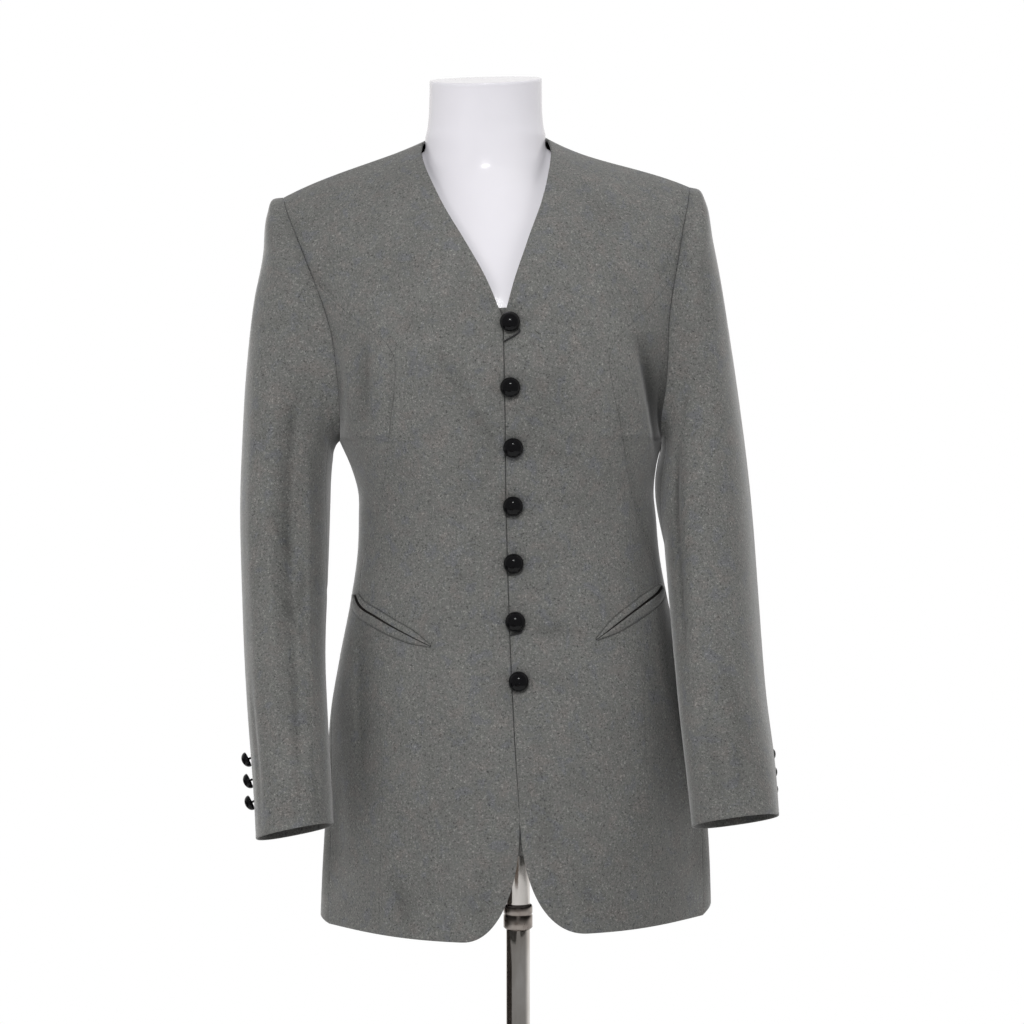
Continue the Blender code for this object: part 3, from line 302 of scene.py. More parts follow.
SLEEVE_POWER = 2.3        # roundness of a ring; 2 is an ellipse

# The two sleeve seams, as angles round a ring: 0 outermost, 90 at the front, 180 innermost.
SLEEVE_SEAMS = {
    WEARER_RIGHT: table("down front back", [
        (0, 148, 250), (150, 156, 262), (340, 164, 300), (560, 172, 346), (640, 174, 353)]),
    WEARER_LEFT: table("down front back", [
        (0, 148, 250), (150, 154, 258), (340, 160, 280), (560, 166, 308), (640, 168, 314)])}

# The form, in level rings: where its widest points lie, their half width, its front and back y.
TORSO = table("z middle width front back power", [
    (792, 0, 132, -84, 76, 2.2), (806, 0, 148, -96, 88, 2.2), (850, 0, 153, -102, 95, 2.1),
    (900, 0, 147, -97, 88, 2.1), (950, 0, 138, -92, 79, 2.1), (1000, 0, 131, -88, 72, 2.2),
    (1040, 0, 130, -90, 70, 2.2), (1090, 0, 131, -97, 76, 2.3), (1150, 0, 134, -105, 85, 2.3),
    (1200, 0, 140, -105, 88, 2.3), (1240, 0, 146, -97, 88, 2.2), (1280, 0, 151, -80, 84, 2.1),
    (1310, 2, 151, -60, 74, 2.1), (1335, 4, 144, -38, 60, 2), (1354, 6, 126, -19, 48, 2),
    (1368, 7, 101, -8, 38, 2), (1379, 7, 62, -2, 28, 2), (1388, 6, 36, 0, 24, 2),
    (1394, 5, 36, 0, 22, 2), (1402, 4, 36, 0, 20, 2), (1414, 3, 36, -4, 20, 2),
    (1430, 2, 36, -8, 20, 2), (1450, 0, 36, -8, 20, 2)])

# The neck rises out of the torso and leans forward; the last ring is the flat cap's edge.
NECK = table("z width front back tilt", [
    (792, 30, -40, 40, 0), (1200, 50, -90, 60, 0), (1280, 58, -80, 60, 0), (1310, 58, -69, 54, 0),
    (1335, 58, -57, 50, 0), (1350, 58, -50, 48, 0), (1360, 58, -47, 47, 0), (1368, 58, -46, 47, 0),
    (1379, 57.1, -45.5, 46, 0), (1388, 57.2, -45.5, 45, 0), (1394, 57.6, -45.5, 44, 0.01),
    (1402, 55.8, -46, 42, 0.03), (1414, 54.2, -47.5, 38, 0.08), (1430, 53.6, -50, 33, 0.14),
    (1450, 53.3, -54, 27, 0.21)])
NECK_BLEND = 8            # how sharply the neck meets the torso

# Front buttons: how far outside the closed edge, and how high. A loop comes out of the edge above
# the shank, goes round it and back: how far out and down it turns, and how low it ends.
FRONT_BUTTONS = table("off z turn_out turn_down drop", [
    (6.2, 1212.5, 7, 9.5, 17.5), (5.3, 1153.6, 0, 5, 8), (7, 1098.3, -1, 5, 8), (6.3, 1044.4, 0, 8, 10),
    (5.5, 991, 1, 8.5, 11), (5.4, 937.5, 5, 9.5, 12.5), (6.3, 883, -1, 5, 8)])
BUTTON_RADIUS = 9.3
BUTTON_DOME = 6.6         # height of the dome above its rim
BUTTON_STAND = 2.7        # from the cloth to the rim
SHANK_RADIUS = 2.4
CUFF_BUTTONS = (572, 590, 608)   # how far down the sleeve each one sits, at the back seam
CUFF_BUTTON_RADIUS = 7.3
CUFF_BUTTON_DOME = 5.6
CUFF_SHANK_RADIUS = 1.7
CUFF_DROOP = 20.0         # degrees that a cuff button hangs down
LOOP_RADIUS = 0.9
LOOP_RISE = 1.3           # of the cord's middle above the cloth
LOOP_BEND = 3.9           # from the shank's middle to the cord's middle
LOOP_START = (-2.0, 5.0)  # behind the closed edge, and above the shank

# Each pocket's slit from the side inwards, half its gape, and the width of its two jets.
POCKETS = {
    WEARER_RIGHT: table("x z gape upper lower", [
        (146, 958.8, 1.8, 1.6, 3), (139.4, 947.4, 1.3, 5.5, 8.5), (124, 939, 1, 6.5, 9.6),
        (109.5, 931.4, 0.7, 6.5, 8.8), (92, 923, 0.4, 6, 6.8), (80, 917.4, 0.25, 3, 3),
        (73.5, 914.5, 0.2, 0.8, 0.8)]),
    WEARER_LEFT: table("x z gape upper lower", [
        (145, 966.8, 1.8, 1.6, 3), (139, 960, 1.3, 5, 8.5), (128, 953, 1, 6.5, 10),
        (115, 944.5, 0.8, 6.5, 9.4), (100, 934.3, 0.6, 6.2, 7.6), (88, 926, 0.3, 3.4, 4),
        (80, 920.5, 0.2, 0.8, 0.8)])}
JET_WALL = 1.2
JET_GAP = 1.0

UNDERLAP = (-8.0, 0.0, 8.0, 17.0)   # columns of the strip, from the closed edge
UNDERLAP_TOP = 1226.5
UNDERLAP_FOOT = 724.0
UNDERLAP_WALL = 1.6
UNDERLAP_GAP = 0.8

POLE_RADIUS = 11.5
COLLAR_RADIUS = 14.0
COLLAR_FOOT = 634.0
COLLAR_TOP = 657.5
FACE_GAP = 0.3            # between two faces of the stand that meet
HUB_RADIUS = 24.0
HUB_TOP = 34.0
BASE_RADIUS = 170.0
BASE_WALL = 9.0
BASE_EDGE = 3.0


def through(knots, values, at):
    """Smooth curve through a table's values, with slopes taken from the neighbours."""
    slopes = np.gradient(values, knots)
    i = np.clip(np.searchsorted(knots, at, side="right") - 1, 0, len(knots) - 2)
    span = knots[i + 1] - knots[i]
    t = (at - knots[i]) / span
    return ((2 * t ** 3 - 3 * t ** 2 + 1) * values[i] + (t ** 3 - 2 * t ** 2 + t) * span * slopes[i]
            + (3 * t ** 2 - 2 * t ** 3) * values[i + 1] + (t ** 3 - t ** 2) * span * slopes[i + 1])


def column(rows, name, at, key="level", corner=None):
    """A column of a table at any level, with a kink where the outline has a corner."""
    at = np.asarray(at, float)
    knots = rows[key]
    if corner is None:
        return through(knots, rows[name], at)
    low = knots <= corner
    high = knots >= corner
    below = through(knots[low], rows[name][low], np.minimum(at, corner))
    above = through(knots[high], rows[name][high], np.maximum(at, corner))
    return np.where(at < corner, below, above)


def tucked(x, z, side):
    """Move a side or armhole point in by the tuck of its armpit."""
    return x - TUCK[side] * np.exp(-((z - TUCK_HEIGHT) / TUCK_FADE) ** 2)


def row_end(armhole, level, side):
    """Where the rows end: up the side seam, then round the armhole."""
    low = np.minimum(level, ARMPIT)
    high = np.maximum(level, ARMPIT)
    below = level < ARMPIT
    x = np.where(below, column(SIDE_SEAM, "x", low), column(armhole, "x", high))
    y = np.where(below, column(SIDE_SEAM, "y", low), column(armhole, "y", high))
    z = np.where(below, level, column(armhole, "z", high))
    turn = np.where(below, column(SIDE_SEAM, "turn", low), column(armhole, "turn", high))
    return np.stack([tucked(x, z, side), y, z], -1), np.radians(turn)


def front_controls(level, side):
    """The four control points of each front row."""
    start_x = column(OPENING, "x", level, corner=V_FOOT) + side * column(CLOSURE, "x", level)
    start = np.stack([start_x, column(FRONT, "y", level), level], -1)
    end, turn = row_end(ARMHOLE_FRONT, level, side)
    reach = column(FRONT, "reach", level)
    reach_end = column(FRONT, "reach_end", level, corner=ARMPIT)
    swell = column(FRONT, "swell", level)
    fall = (end[..., 2] - start[..., 2]) / (end[..., 0] - start[..., 0])
    near, far = (column(FRONT, "arch", level) * height for height in SHOULDER_ARCH[side])
    second = start + np.stack([reach, -swell, fall * reach + near], -1)
    back_x = reach_end * np.cos(turn)
    third = end - np.stack([back_x, reach_end * np.sin(turn), fall * back_x - far], -1)
    return start, second, third, end


def back_controls(level, side):
    """The four control points of each back row."""
    start = np.stack([column(BACK, name, level, corner=BACK_NECK) for name in "xyz"], -1)
    end, turn = row_end(ARMHOLE_BACK, level, side)
    reach = column(BACK, "reach", level)
    reach_end = column(BACK, "reach_end", level, corner=ARMPIT)
    fall = (end[..., 2] - start[..., 2]) / (end[..., 0] - start[..., 0])
    arch = column(BACK, "arch", level, corner=BACK_NECK)
    near, far = (arch * height for height in SHOULDER_ARCH[side])
    second = start + np.stack([reach, 0 * reach, fall * reach + near], -1)
    back_x = reach_end * np.cos(turn)
    third = end + np.stack([back_x, reach_end * np.sin(turn), fall * back_x + far], -1)
    return start, second, third, end


def cubic(controls, t):
    """Points of the cubic curves at t; controls are (n, 3) and t is (n, m)."""
    weights = ((1 - t) ** 3, 3 * t * (1 - t) ** 2, 3 * t ** 2 * (1 - t), t ** 3)
    return sum(w[..., None] * c[..., None, :] for w, c in zip(weights, controls))

SAMPLES = 41


def measured(controls):
    """Finely spaced points of each row, the curve's own t, and the length run so far."""
    t = np.broadcast_to(np.linspace(0, 1, SAMPLES), controls[0].shape[:-1] + (SAMPLES,))
    points = cubic(controls, t)
    steps = np.linalg.norm(np.diff(points, axis=-2), axis=-1)
    run = np.concatenate([np.zeros(steps.shape[:-1] + (1,)), np.cumsum(steps, -1)], -1)
    return points, t, run


def on_rows(controls_of, level, share, side):
    """Points of a surface; level and share (0 at a row's start, 1 at its end) are arrays alike."""
    flat_level = np.asarray(level, float).ravel()
    flat_share = np.asarray(share, float).ravel()
    controls = controls_of(flat_level, side)
    points, t, run = measured(controls)
    at = np.array([np.interp(s, r / r[-1], row_t) for s, r, row_t in zip(flat_share, run, t)])
    return cubic(controls, at[:, None])[:, 0].reshape(np.shape(level) + (3,))


def fold_depth(rows, first, second, spot_first, spot_second):
    """Depth at each spot of folds that fade out along their lines and to both sides."""
    total = 0.0 * spot_first
    for i in range(len(rows["depth"])):
        start = np.array([rows[first][i], rows[second][i]])
        run = np.array([rows[first + "_end"][i], rows[second + "_end"][i]]) - start
        away_first, away_second = spot_first - start[0], spot_second - start[1]
        along = np.clip((away_first * run[0] + away_second * run[1]) / (run @ run), 0, 1)
        off = np.hypot(away_first - along * run[0], away_second - along * run[1])
        total += rows["depth"][i] * np.sin(math.pi * along) * np.exp(-(off / rows["width"][i]) ** 2)
    return total


def front_surface(level, share, side):
    """Points of the front with its folds, which fade out before the side seam."""
    points = on_rows(front_controls, level, share, side)
    depth = fold_depth(FRONT_FOLDS[side], "x", "z", points[..., 0], points[..., 2])
    points[..., 1] += depth * np.clip((1 - share) / FOLD_MARGIN, 0, 1)
    return points


def share_at_x(controls_of, level, x, side):
    """How far along each row a given x lies, as a share of the row's length."""
    points, t, run = measured(controls_of(np.asarray(level, float), side))
    return np.array([np.interp(value, p[:, 0], r / r[-1]) for value, p, r in zip(x, points, run)])


def front_hem(run, side):
    """Height of the front hem, by the girth run from the front edge."""
    width = CORNER_WIDTH[side]
    corner = np.clip(1 - run / width, 0, 1) ** CORNER_POWER
    rise = np.clip((run - width) / (HEM_REACH - width), 0, 1) ** HEM_BEND
    corner_height = CORNER_TOP - FRONT_HEM[side]
    return (FRONT_HEM[side] + corner_height * (1 - (1 - corner) ** (1 / CORNER_POWER))
            + (SIDE_HEM[side] - FRONT_HEM[side]) * rise)


def hemmed(level, hem):
    """Squeeze the levels below HEM_FADE so that the lowest one lies on the hem."""
    part = np.clip((level - LOWEST) / (HEM_FADE - LOWEST), 0, 1)
    return np.where(level < HEM_FADE, hem + (HEM_FADE - hem) * part, level)


def seam_share(levels, side):
    """The princess seam, as a share of each front row."""
    x = column(PRINCESS, "x", np.minimum(levels, SEAM_TOP))
    return np.where(levels >= SEAM_TOP, 1.0, share_at_x(front_controls, levels, x, side))


def front_grid(side, first, last, columns, levels, crowding):
    """A piece of the front surface between two shares of each row."""
    levels = np.array(levels, float)
    power = np.interp(levels, (700, 900, SEAM_TOP), (crowding, 1 + (crowding - 1) / 4, 1))
    steps = np.linspace(0, 1, columns)[None, :] ** power[:, None]
    share = first(levels)[:, None] + (last(levels) - first(levels))[:, None] * steps
    hem = front_hem(share * HEM_REACH, side)
    return front_surface(hemmed(levels[:, None] + 0 * share, hem), share, side)


def world_point(points, side):
    """Mirror to the side and lean along the centre line; still in mm."""
    points = np.array(points, float)
    height = points[..., 2]
    grown = np.clip((height - TILT_FROM) / (TILT_TO - TILT_FROM), 0, 1)
    x = side * points[..., 0]
    points[..., 0] = x + column(CENTRE_LINE, "x", height, key="z")
    points[..., 2] = height + SHOULDER_TILT * x * grown ** 2 * (3 - 2 * grown)
    return points

SLEEVE_RINGS = (0.45, 4, 10, 18, 30, 48, 75, 110, 150, 195, 240, 285, 330, 375, 425, 475, 525, 575,
                610, 640)
ARMHOLE_SAMPLES = 120     # levels at which the armhole is traced


def armhole_ring(side, height):
    """Armhole points at given heights, on the front and on the back."""
    rings = []
    for armhole, top in ((ARMHOLE_FRONT, NECK_POINT), (ARMHOLE_BACK, BACK_SHOULDER)):
        level = np.linspace(ARMPIT, top, ARMHOLE_SAMPLES)
        points, _ = row_end(armhole, level, side)
        rings.append(np.stack([np.interp(height, points[:, 2], points[:, i]) for i in range(3)], -1))
    return rings


def sleeve_ring(value, angle):
    """Points at angles (degrees) of the ring that one row of the sleeve's table describes."""
    cosine = np.cos(np.radians(angle))
    sine = np.sin(np.radians(angle))
    outwards = np.sign(cosine) * np.abs(cosine) ** (2 / SLEEVE_POWER)
    forwards = np.sign(sine) * np.abs(sine) ** (2 / SLEEVE_POWER)
    half = np.sqrt(((value["outer_x"] - value["inner_x"]) / 2) ** 2 - value["lean"] ** 2)
    middle = (value["outer_x"] + value["inner_x"]) / 2 - value["bow"] * sine ** 2
    middle_z = (value["outer_z"] + value["inner_z"]) / 2
    half_z = (value["outer_z"] - value["inner_z"]) / 2
    return np.stack([
        middle + half * outwards - value["lean"] * forwards,
        value["y"] - value["depth"] / 2 * forwards,
        middle_z + half_z * outwards + value["rise"] / 2 * forwards], -1)


def sleeve_points(side, down, angle):
    """Points of a sleeve; down and angle (degrees) are arrays alike."""
    rows = SLEEVES[side]
    ring = sleeve_ring({name: column(rows, name, down, key="down") for name in rows}, angle)
    first = {name: values[0] for name, values in rows.items()}
    height = (first["outer_z"] + first["inner_z"]) / 2 \
        + (first["outer_z"] - first["inner_z"]) / 2 * np.cos(np.radians(angle))
    front, back = armhole_ring(side, height)
    armhole = np.where((angle % 360 <= 180)[..., None], front, back)
    blend = np.clip(1 - down / CAP_BLEND, 0, 1)[..., None] ** 2
    turn = np.radians(angle)
    depth = fold_depth(SLEEVE_FOLDS[side], "down", "angle", down, angle % 360)
    inwards = np.stack([-depth * np.cos(turn), depth * np.sin(turn), 0 * depth], -1)
    return ring + inwards + blend * (armhole - sleeve_ring(first, angle))

FORM_SIDES = 32


def form_ring(z):
    """One ring of the form: the torso's and the neck's outlines, smoothly joined."""
    torso = {name: column(TORSO, name, z, key="z") for name in TORSO}
    neck = {name: column(NECK, name, z, key="z") for name in NECK}
    angle = np.radians(np.arange(FORM_SIDES) * 360 / FORM_SIDES)
    cosine, sine = np.cos(angle), np.sin(angle)

    def radius(shape, power):
        half = np.where(sine < 0, torso["middle"] - shape["front"], shape["back"] - torso["middle"])
        return (np.abs(cosine / shape["width"]) ** power + np.abs(sine / half) ** power) ** (-1 / power)

    reach = (radius(torso, torso["power"]) ** NECK_BLEND + radius(neck, 2) ** NECK_BLEND) \
        ** (1 / NECK_BLEND)
    y = torso["middle"] + reach * sine
    return np.stack([reach * cosine, y, z + neck["tilt"] * y], -1)

SPOT_ROUNDS = 5           # rounds that find a point of the front by its height


def front_spot(side, x, z):
    """A point of the front's outer surface at x and z, and its outward normal, in world mm."""
    x = np.atleast_1d(np.asarray(x, float))
    z = np.atleast_1d(np.asarray(z, float))
    level = z.copy()
    for _ in range(SPOT_ROUNDS):
        share = share_at_x(front_controls, level, x, side)
        level = level + z - front_surface(level, share, side)[:, 2]
    step = 0.5
    share = np.minimum(share, 1 - 2 * step * MM)
    here = world_point(front_surface(level, share, side), side)
    above = world_point(front_surface(level + step, share, side), side)
    beside = world_point(front_surface(level, share + step * MM, side), side)
    normal = side * np.cross(beside - here, above - here)
    return here, normal / np.linalg.norm(normal, axis=1)[:, None]


def sleeve_spot(side, down):
    """A point of the sleeve's back seam, its outward normal and the seam's direction downwards."""
    angle = column(SLEEVE_SEAMS[side], "back", np.array([down]), key="down")
    step = 1.0
    down = np.array([float(down)])
    here = world_point(sleeve_points(side, down, angle), side)[0]
    lower = world_point(sleeve_points(side, down + step, angle), side)[0]
    beside = world_point(sleeve_points(side, down, angle + step), side)[0]
    normal = -side * np.cross(lower - here, beside - here)
    return here, normal / np.linalg.norm(normal), (lower - here) / np.linalg.norm(lower - here)


def loop_route(off, turn_out, turn_down, drop):
    """Where a loop runs, across and up from the shank."""
    slant = LOOP_BEND * math.sqrt(0.5)
    return [(LOOP_START[0] - off, LOOP_START[1]), (-slant, slant), (0, LOOP_BEND), (slant, slant),
            (LOOP_BEND, 0), (max(slant, turn_out), -slant - turn_down / 4), (turn_out, -turn_down),
            (-off - 1, -drop)]


# ------------------------------------------------------------------ small creases, placed one by one

FRONT_CREASES = {
    WEARER_RIGHT: table("x z x_end z_end depth width", [
        (122, 1214, 129, 1116, 1.8, 3.4), (98, 1212, 110, 1076, 1.3, 3.2), (119, 1172, 101, 1143, 1.6, 3.2),
        (108, 1196, 113, 1120, -0.9, 5), (63, 1194, 34, 1143, 1.1, 4.5), (38, 1150, 6, 1094, 1.1, 4.5),
        (152, 1186, 157, 1098, 3.4, 5.5), (70, 1216, 96, 1204, 0.8, 7), (60, 1060, 104, 1048, -0.8, 9),
        (118, 1036, 138, 1028, 1.0, 6), (6, 1152, 34, 1160, 0.7, 3.5), (6, 1096, 32, 1101, 0.7, 3.5),
        (8, 1040, 38, 1046, 0.8, 3.5), (8, 936, 34, 942, 0.6, 3.5), (94, 874, 72, 760, 0.9, 5),
        (139, 948, 142, 850, 1.6, 5), (141, 880, 143, 770, 1.4, 5), (149, 940, 153, 780, -1.6, 5),
        (117, 700, 97, 652, 1.6, 4.5), (24, 820, 20, 700, -0.6, 9), (173, 1264, 148, 1238, 2.0, 3.2),
        (92, 1350, 118, 1300, 0.7, 12), (30, 720, 36, 656, 0.8, 7), (160, 800, 158, 690, -1.2, 5)]),
    WEARER_LEFT: table("x z x_end z_end depth width", [
        (117, 1210, 130, 1110, -1.6, 4.5), (167, 1273, 151, 1248, 1.8, 3.2),
        (104, 1146, 118, 1048, 1.5, 3.6), (116, 1062, 142, 964, 2.0, 3.8), (128, 1070, 134, 1010, -0.9, 5),
        (116, 1150, 103, 1100, 0.8, 6), (18, 1212, 40, 1222, 0.8, 4), (18, 1152, 44, 1156, 0.7, 3.5),
        (20, 1098, 60, 1094, 0.8, 4.5), (18, 1043, 40, 1048, 0.7, 3.5), (20, 990, 42, 986, 0.6, 3.5),
        (14, 928, 52, 927, 0.9, 3.5), (20, 880, 46, 884, 0.6, 3.5), (58, 1060, 100, 1040, -0.8, 9),
        (64, 880, 52, 770, 0.6, 10), (118, 880, 124, 720, -0.8, 9), (26, 800, 30, 690, 0.7, 7),
        (88, 1340, 120, 1290, 0.8, 12), (150, 900, 148, 700, 1.4, 6), (164, 860, 162, 700, -1.4, 5),
        (60, 716, 72, 654, 1.0, 7)])}
BACK_FOLDS = {
    WEARER_RIGHT: table("x z x_end z_end depth width", [
        (30, 1046, 128, 1062, -2.4, 9), (18, 1018, 120, 1030, -1.8, 8), (60, 1078, 136, 1096, -1.6, 9),
        (118, 1270, 132, 1136, -2.6, 11), (142, 1200, 150, 1110, 1.6, 8), (84, 1240, 66, 1120, -1.2, 14),
        (138, 980, 132, 760, -2.0, 13), (70, 920, 62, 690, 1.8, 17), (100, 800, 104, 680, -1.6, 11),
        (30, 1352, 86, 1340, -1.0, 9), (24, 900, 16, 700, -1.0, 10), (110, 1000, 132, 985, -1.2, 6)]),
    WEARER_LEFT: table("x z x_end z_end depth width", [
        (26, 1040, 122, 1052, -2.2, 9), (34, 1010, 112, 1018, -1.6, 8), (70, 1084, 128, 1092, -1.4, 8),
        (112, 1262, 126, 1130, -2.8, 11), (136, 1206, 142, 1116, 1.6, 8), (78, 1236, 70, 1130, -1.0, 14),
        (134, 970, 136, 750, -2.2, 13), (74, 930, 58, 700, 1.6, 16), (104, 790, 100, 680, -1.4, 11),
        (34, 1350, 90, 1336, -1.2, 9), (20, 880, 24, 700, -0.9, 10), (104, 992, 130, 976, -1.2, 6)])}
SLEEVE_CREASES = {
    WEARER_RIGHT: table("down angle down_end angle_end depth width", [
        (60, 97, 270, 95, 2.2, 5), (220, 95, 440, 95, 2.4, 5), (390, 96, 640, 98, 2.4, 5.5),
        (40, 76, 300, 74, -2.0, 7), (260, 74, 640, 72, -2.2, 7), (120, 122, 560, 124, -1.8, 6),
        (300, 60, 360, 118, 1.0, 5), (352, 40, 410, 100, 1.1, 5), (395, 80, 446, 132, 1.0, 6),
        (350, 170, 378, 250, 1.4, 7), (26, 108, 120, 104, 1.2, 7), (22, 300, 120, 290, 1.1, 9),
        (500, 30, 640, 40, 1.2, 6), (560, 120, 640, 128, 1.2, 6), (410, 300, 470, 340, 1.2, 8),
        (150, 320, 330, 332, 1.2, 12), (440, 268, 600, 262, 1.3, 10), (60, 20, 180, 24, -0.8, 8)]),
    WEARER_LEFT: table("down angle down_end angle_end depth width", [
        (110, 124, 330, 119, 2.6, 6), (290, 120, 470, 114, 2.6, 6), (340, 100, 500, 98, -2.0, 5),
        (-40, 176, 275, 176, -8.5, 34), (290, 70, 356, 124, 0.9, 5), (345, 46, 404, 104, 0.9, 5),
        (388, 84, 452, 138, 1.0, 6), (350, 170, 378, 250, 1.4, 7), (28, 58, 118, 66, 0.9, 8),
        (24, 112, 130, 106, 1.2, 7), (22, 300, 120, 290, 1.1, 9), (520, 100, 640, 96, 1.2, 6),
        (380, 110, 560, 104, -1.2, 6), (410, 300, 470, 336, 1.2, 8), (150, 320, 330, 328, 1.2, 12),
        (440, 262, 600, 256, 1.3, 10), (70, 22, 200, 20, -0.8, 9), (560, 66, 630, 78, 2.0, 7)])}
for cloth_side in SIDE_NAMES:
    for folds, creases in ((FRONT_FOLDS, FRONT_CREASES), (SLEEVE_FOLDS, SLEEVE_CREASES)):
        for key, values in creases[cloth_side].items():
            folds[cloth_side][key] = np.append(folds[cloth_side][key], values)


# In the wearer's left armpit the cloth turns in sharply behind one upright edge of the front; the pit's
# depth also darkens the wool's colour there as painted shade.
PIT_EDGE = ((121.0, 1204.0), (137.0, 1100.0))    # x and z of the edge's upper and lower end
PIT_DEPTH = 9.0
PIT_STEP = 3.0                # how far from the edge it has gone in


def pit_depth(points, side):
    """How far the cloth of the wearer's left armpit lies in, for points in the garment's frame."""
    if side != WEARER_LEFT:
        return 0.0 * points[..., 0]
    start, run = np.array(PIT_EDGE[0]), np.array(PIT_EDGE[1]) - np.array(PIT_EDGE[0])
    across, up = points[..., 0] - start[0], points[..., 2] - start[1]
    along = (across * run[0] + up * run[1]) / (run @ run)
    off = (up * run[0] - across * run[1]) / math.hypot(*run)
    fall = np.clip(along, 0, 1) ** 0.8 * np.clip((1.2 - along) / 0.25, 0, 1)
    step = np.clip(off / PIT_STEP, 0, 1)
    return PIT_DEPTH * fall * step ** 2 * (3 - 2 * step)


# ------------------------------------------------------------------ fine grids of the cloth

COARSE = 1.0
CELL = 3.2 * COARSE           # size of a cell of cloth
FRONT_COLUMNS = int(48 / COARSE)
SIDE_FRONT_COLUMNS = int(30 / COARSE)
BACK_COLUMNS = int(58 / COARSE)
TOP_COLUMNS = int(88 / COARSE)
UNDER_COLUMNS = int(34 / COARSE)
POCKET_STEPS = int(90 / COARSE)
SEWN_GAP = 0.03               # between two pieces at a sewn seam
FREE = 0.9                    # radius of a free edge, a folded hem
SEWN = 0.42                   # radius where a piece turns in at a seam
QUARTER = ((0, 1), (0.13, 0.5), (0.5, 0.13), (1, 0))    # a quarter round: along, and down
LINING_FROM = 9               # lines in from an edge where the lining starts on the inside


def spread(*corners):
    """Evenly spaced numbers through the given corners."""
    parts = []
    for low, high in zip(corners, corners[1:]):
        count = max(int(round((high - low) / CELL)), 1)
        parts.append(np.linspace(low, high, count, endpoint=False))
    return np.append(np.concatenate(parts), corners[-1])


def fine_front(side):
    """The front's points, and how deep each one lies in a crease."""
    levels = spread(LOWEST, HEM_FADE, ARMPIT, V_FOOT, SEAM_TOP, NECK_POINT)
    points = front_grid(side, np.zeros_like, lambda level: seam_share(level, side),
                        FRONT_COLUMNS, levels, 1.9)
    return points, fold_depth(FRONT_FOLDS[side], "x", "z", points[..., 0], points[..., 2])


def fine_side_front(side):
    levels = spread(LOWEST, HEM_FADE, ARMPIT, SEAM_TOP - 1.5)
    points = front_grid(side, lambda level: seam_share(level, side), np.ones_like,
                        SIDE_FRONT_COLUMNS, levels, 1.0)
    sewn = np.clip(np.arange(points.shape[1])[::-1] * COARSE / 5, 0, 1)
    pit = pit_depth(points, side)
    points[..., 1] += pit * sewn
    return points, pit + fold_depth(FRONT_FOLDS[side], "x", "z", points[..., 0], points[..., 2])


def fine_back(side):
    levels = spread(LOWEST, HEM_FADE, ARMPIT, BACK_NECK, BACK_SHOULDER)
    share = np.broadcast_to(np.linspace(0, 1, BACK_COLUMNS), (len(levels), BACK_COLUMNS))
    hem = BACK_HEM + (SIDE_HEM[side] - BACK_HEM) * share ** BACK_HEM_BEND[side]
    points = on_rows(back_controls, hemmed(levels[:, None] + 0 * share, hem), share, side)
    depth = fold_depth(BACK_FOLDS[side], "x", "z", points[..., 0], points[..., 2])
    points[..., 1] += depth * np.clip(np.minimum(share, 1 - share) / FOLD_MARGIN, 0, 1)
    return points, -depth


def fine_sleeve(side, from_seam, to_seam, columns, turn):
    down = np.concatenate([[0, 2, 4, 7], spread(10, SLEEVE_RINGS[-1])])
    start = column(SLEEVE_SEAMS[side], from_seam, down, key="down") + turn
    end = column(SLEEVE_SEAMS[side], to_seam, down, key="down")
    angle = start[:, None] + (end - start)[:, None] * np.linspace(0, 1, columns)
    down = down[:, None] + 0 * angle
    depth = fold_depth(SLEEVE_FOLDS[side], "down", "angle", down, angle % 360)
    return sleeve_points(side, down, angle), np.maximum(depth, -2.5)


def grid_normals(points, sign):
    across = np.gradient(points, axis=1)
    up = np.gradient(points, axis=0)
    normals = sign * np.cross(across, up)
    return normals / np.maximum(np.linalg.norm(normals, axis=-1), 1e-9)[..., None]


def run_along(points, axis):
    """Length along the grid's lines, from the first one."""
    steps = np.linalg.norm(np.diff(points, axis=axis), axis=-1)
    first = np.zeros_like(np.take(steps, [0], axis=axis))
    return np.concatenate([first, np.cumsum(steps, axis=axis)], axis=axis)


def surface_area(points):
    """Area in square metres of a grid of points in mm."""
    cell = np.cross(points[1:, 1:] - points[:-1, :-1], points[1:, :-1] - points[:-1, 1:])
    return np.linalg.norm(cell, axis=-1).sum() / 2 * MM ** 2


def edged(stack, gap, first_round, last_round):
    """Put lines that round the edge just inside the first and last row of a stack of values.

    A stack's channels are the point, its normal, two cloth coordinates, the edge's depth and
    the crease's depth.
    """
    def border(first, second, radius):
        step = second - first
        length = np.maximum(np.linalg.norm(step[..., :3], axis=-1), 1e-6)
        lines = []
        for number, (away, dig) in enumerate(QUARTER, 1):
            share = np.minimum((away * radius + gap) / length, 0.2 * number)
            line = first + share[..., None] * step
            line[..., 8] = np.maximum(first[..., 8], dig * radius)
            lines.append(line)
        return lines
    rows = border(stack[0], stack[1], first_round) + list(stack[1:-1])
    return np.stack(rows + border(stack[-1], stack[-2], last_round)[::-1])


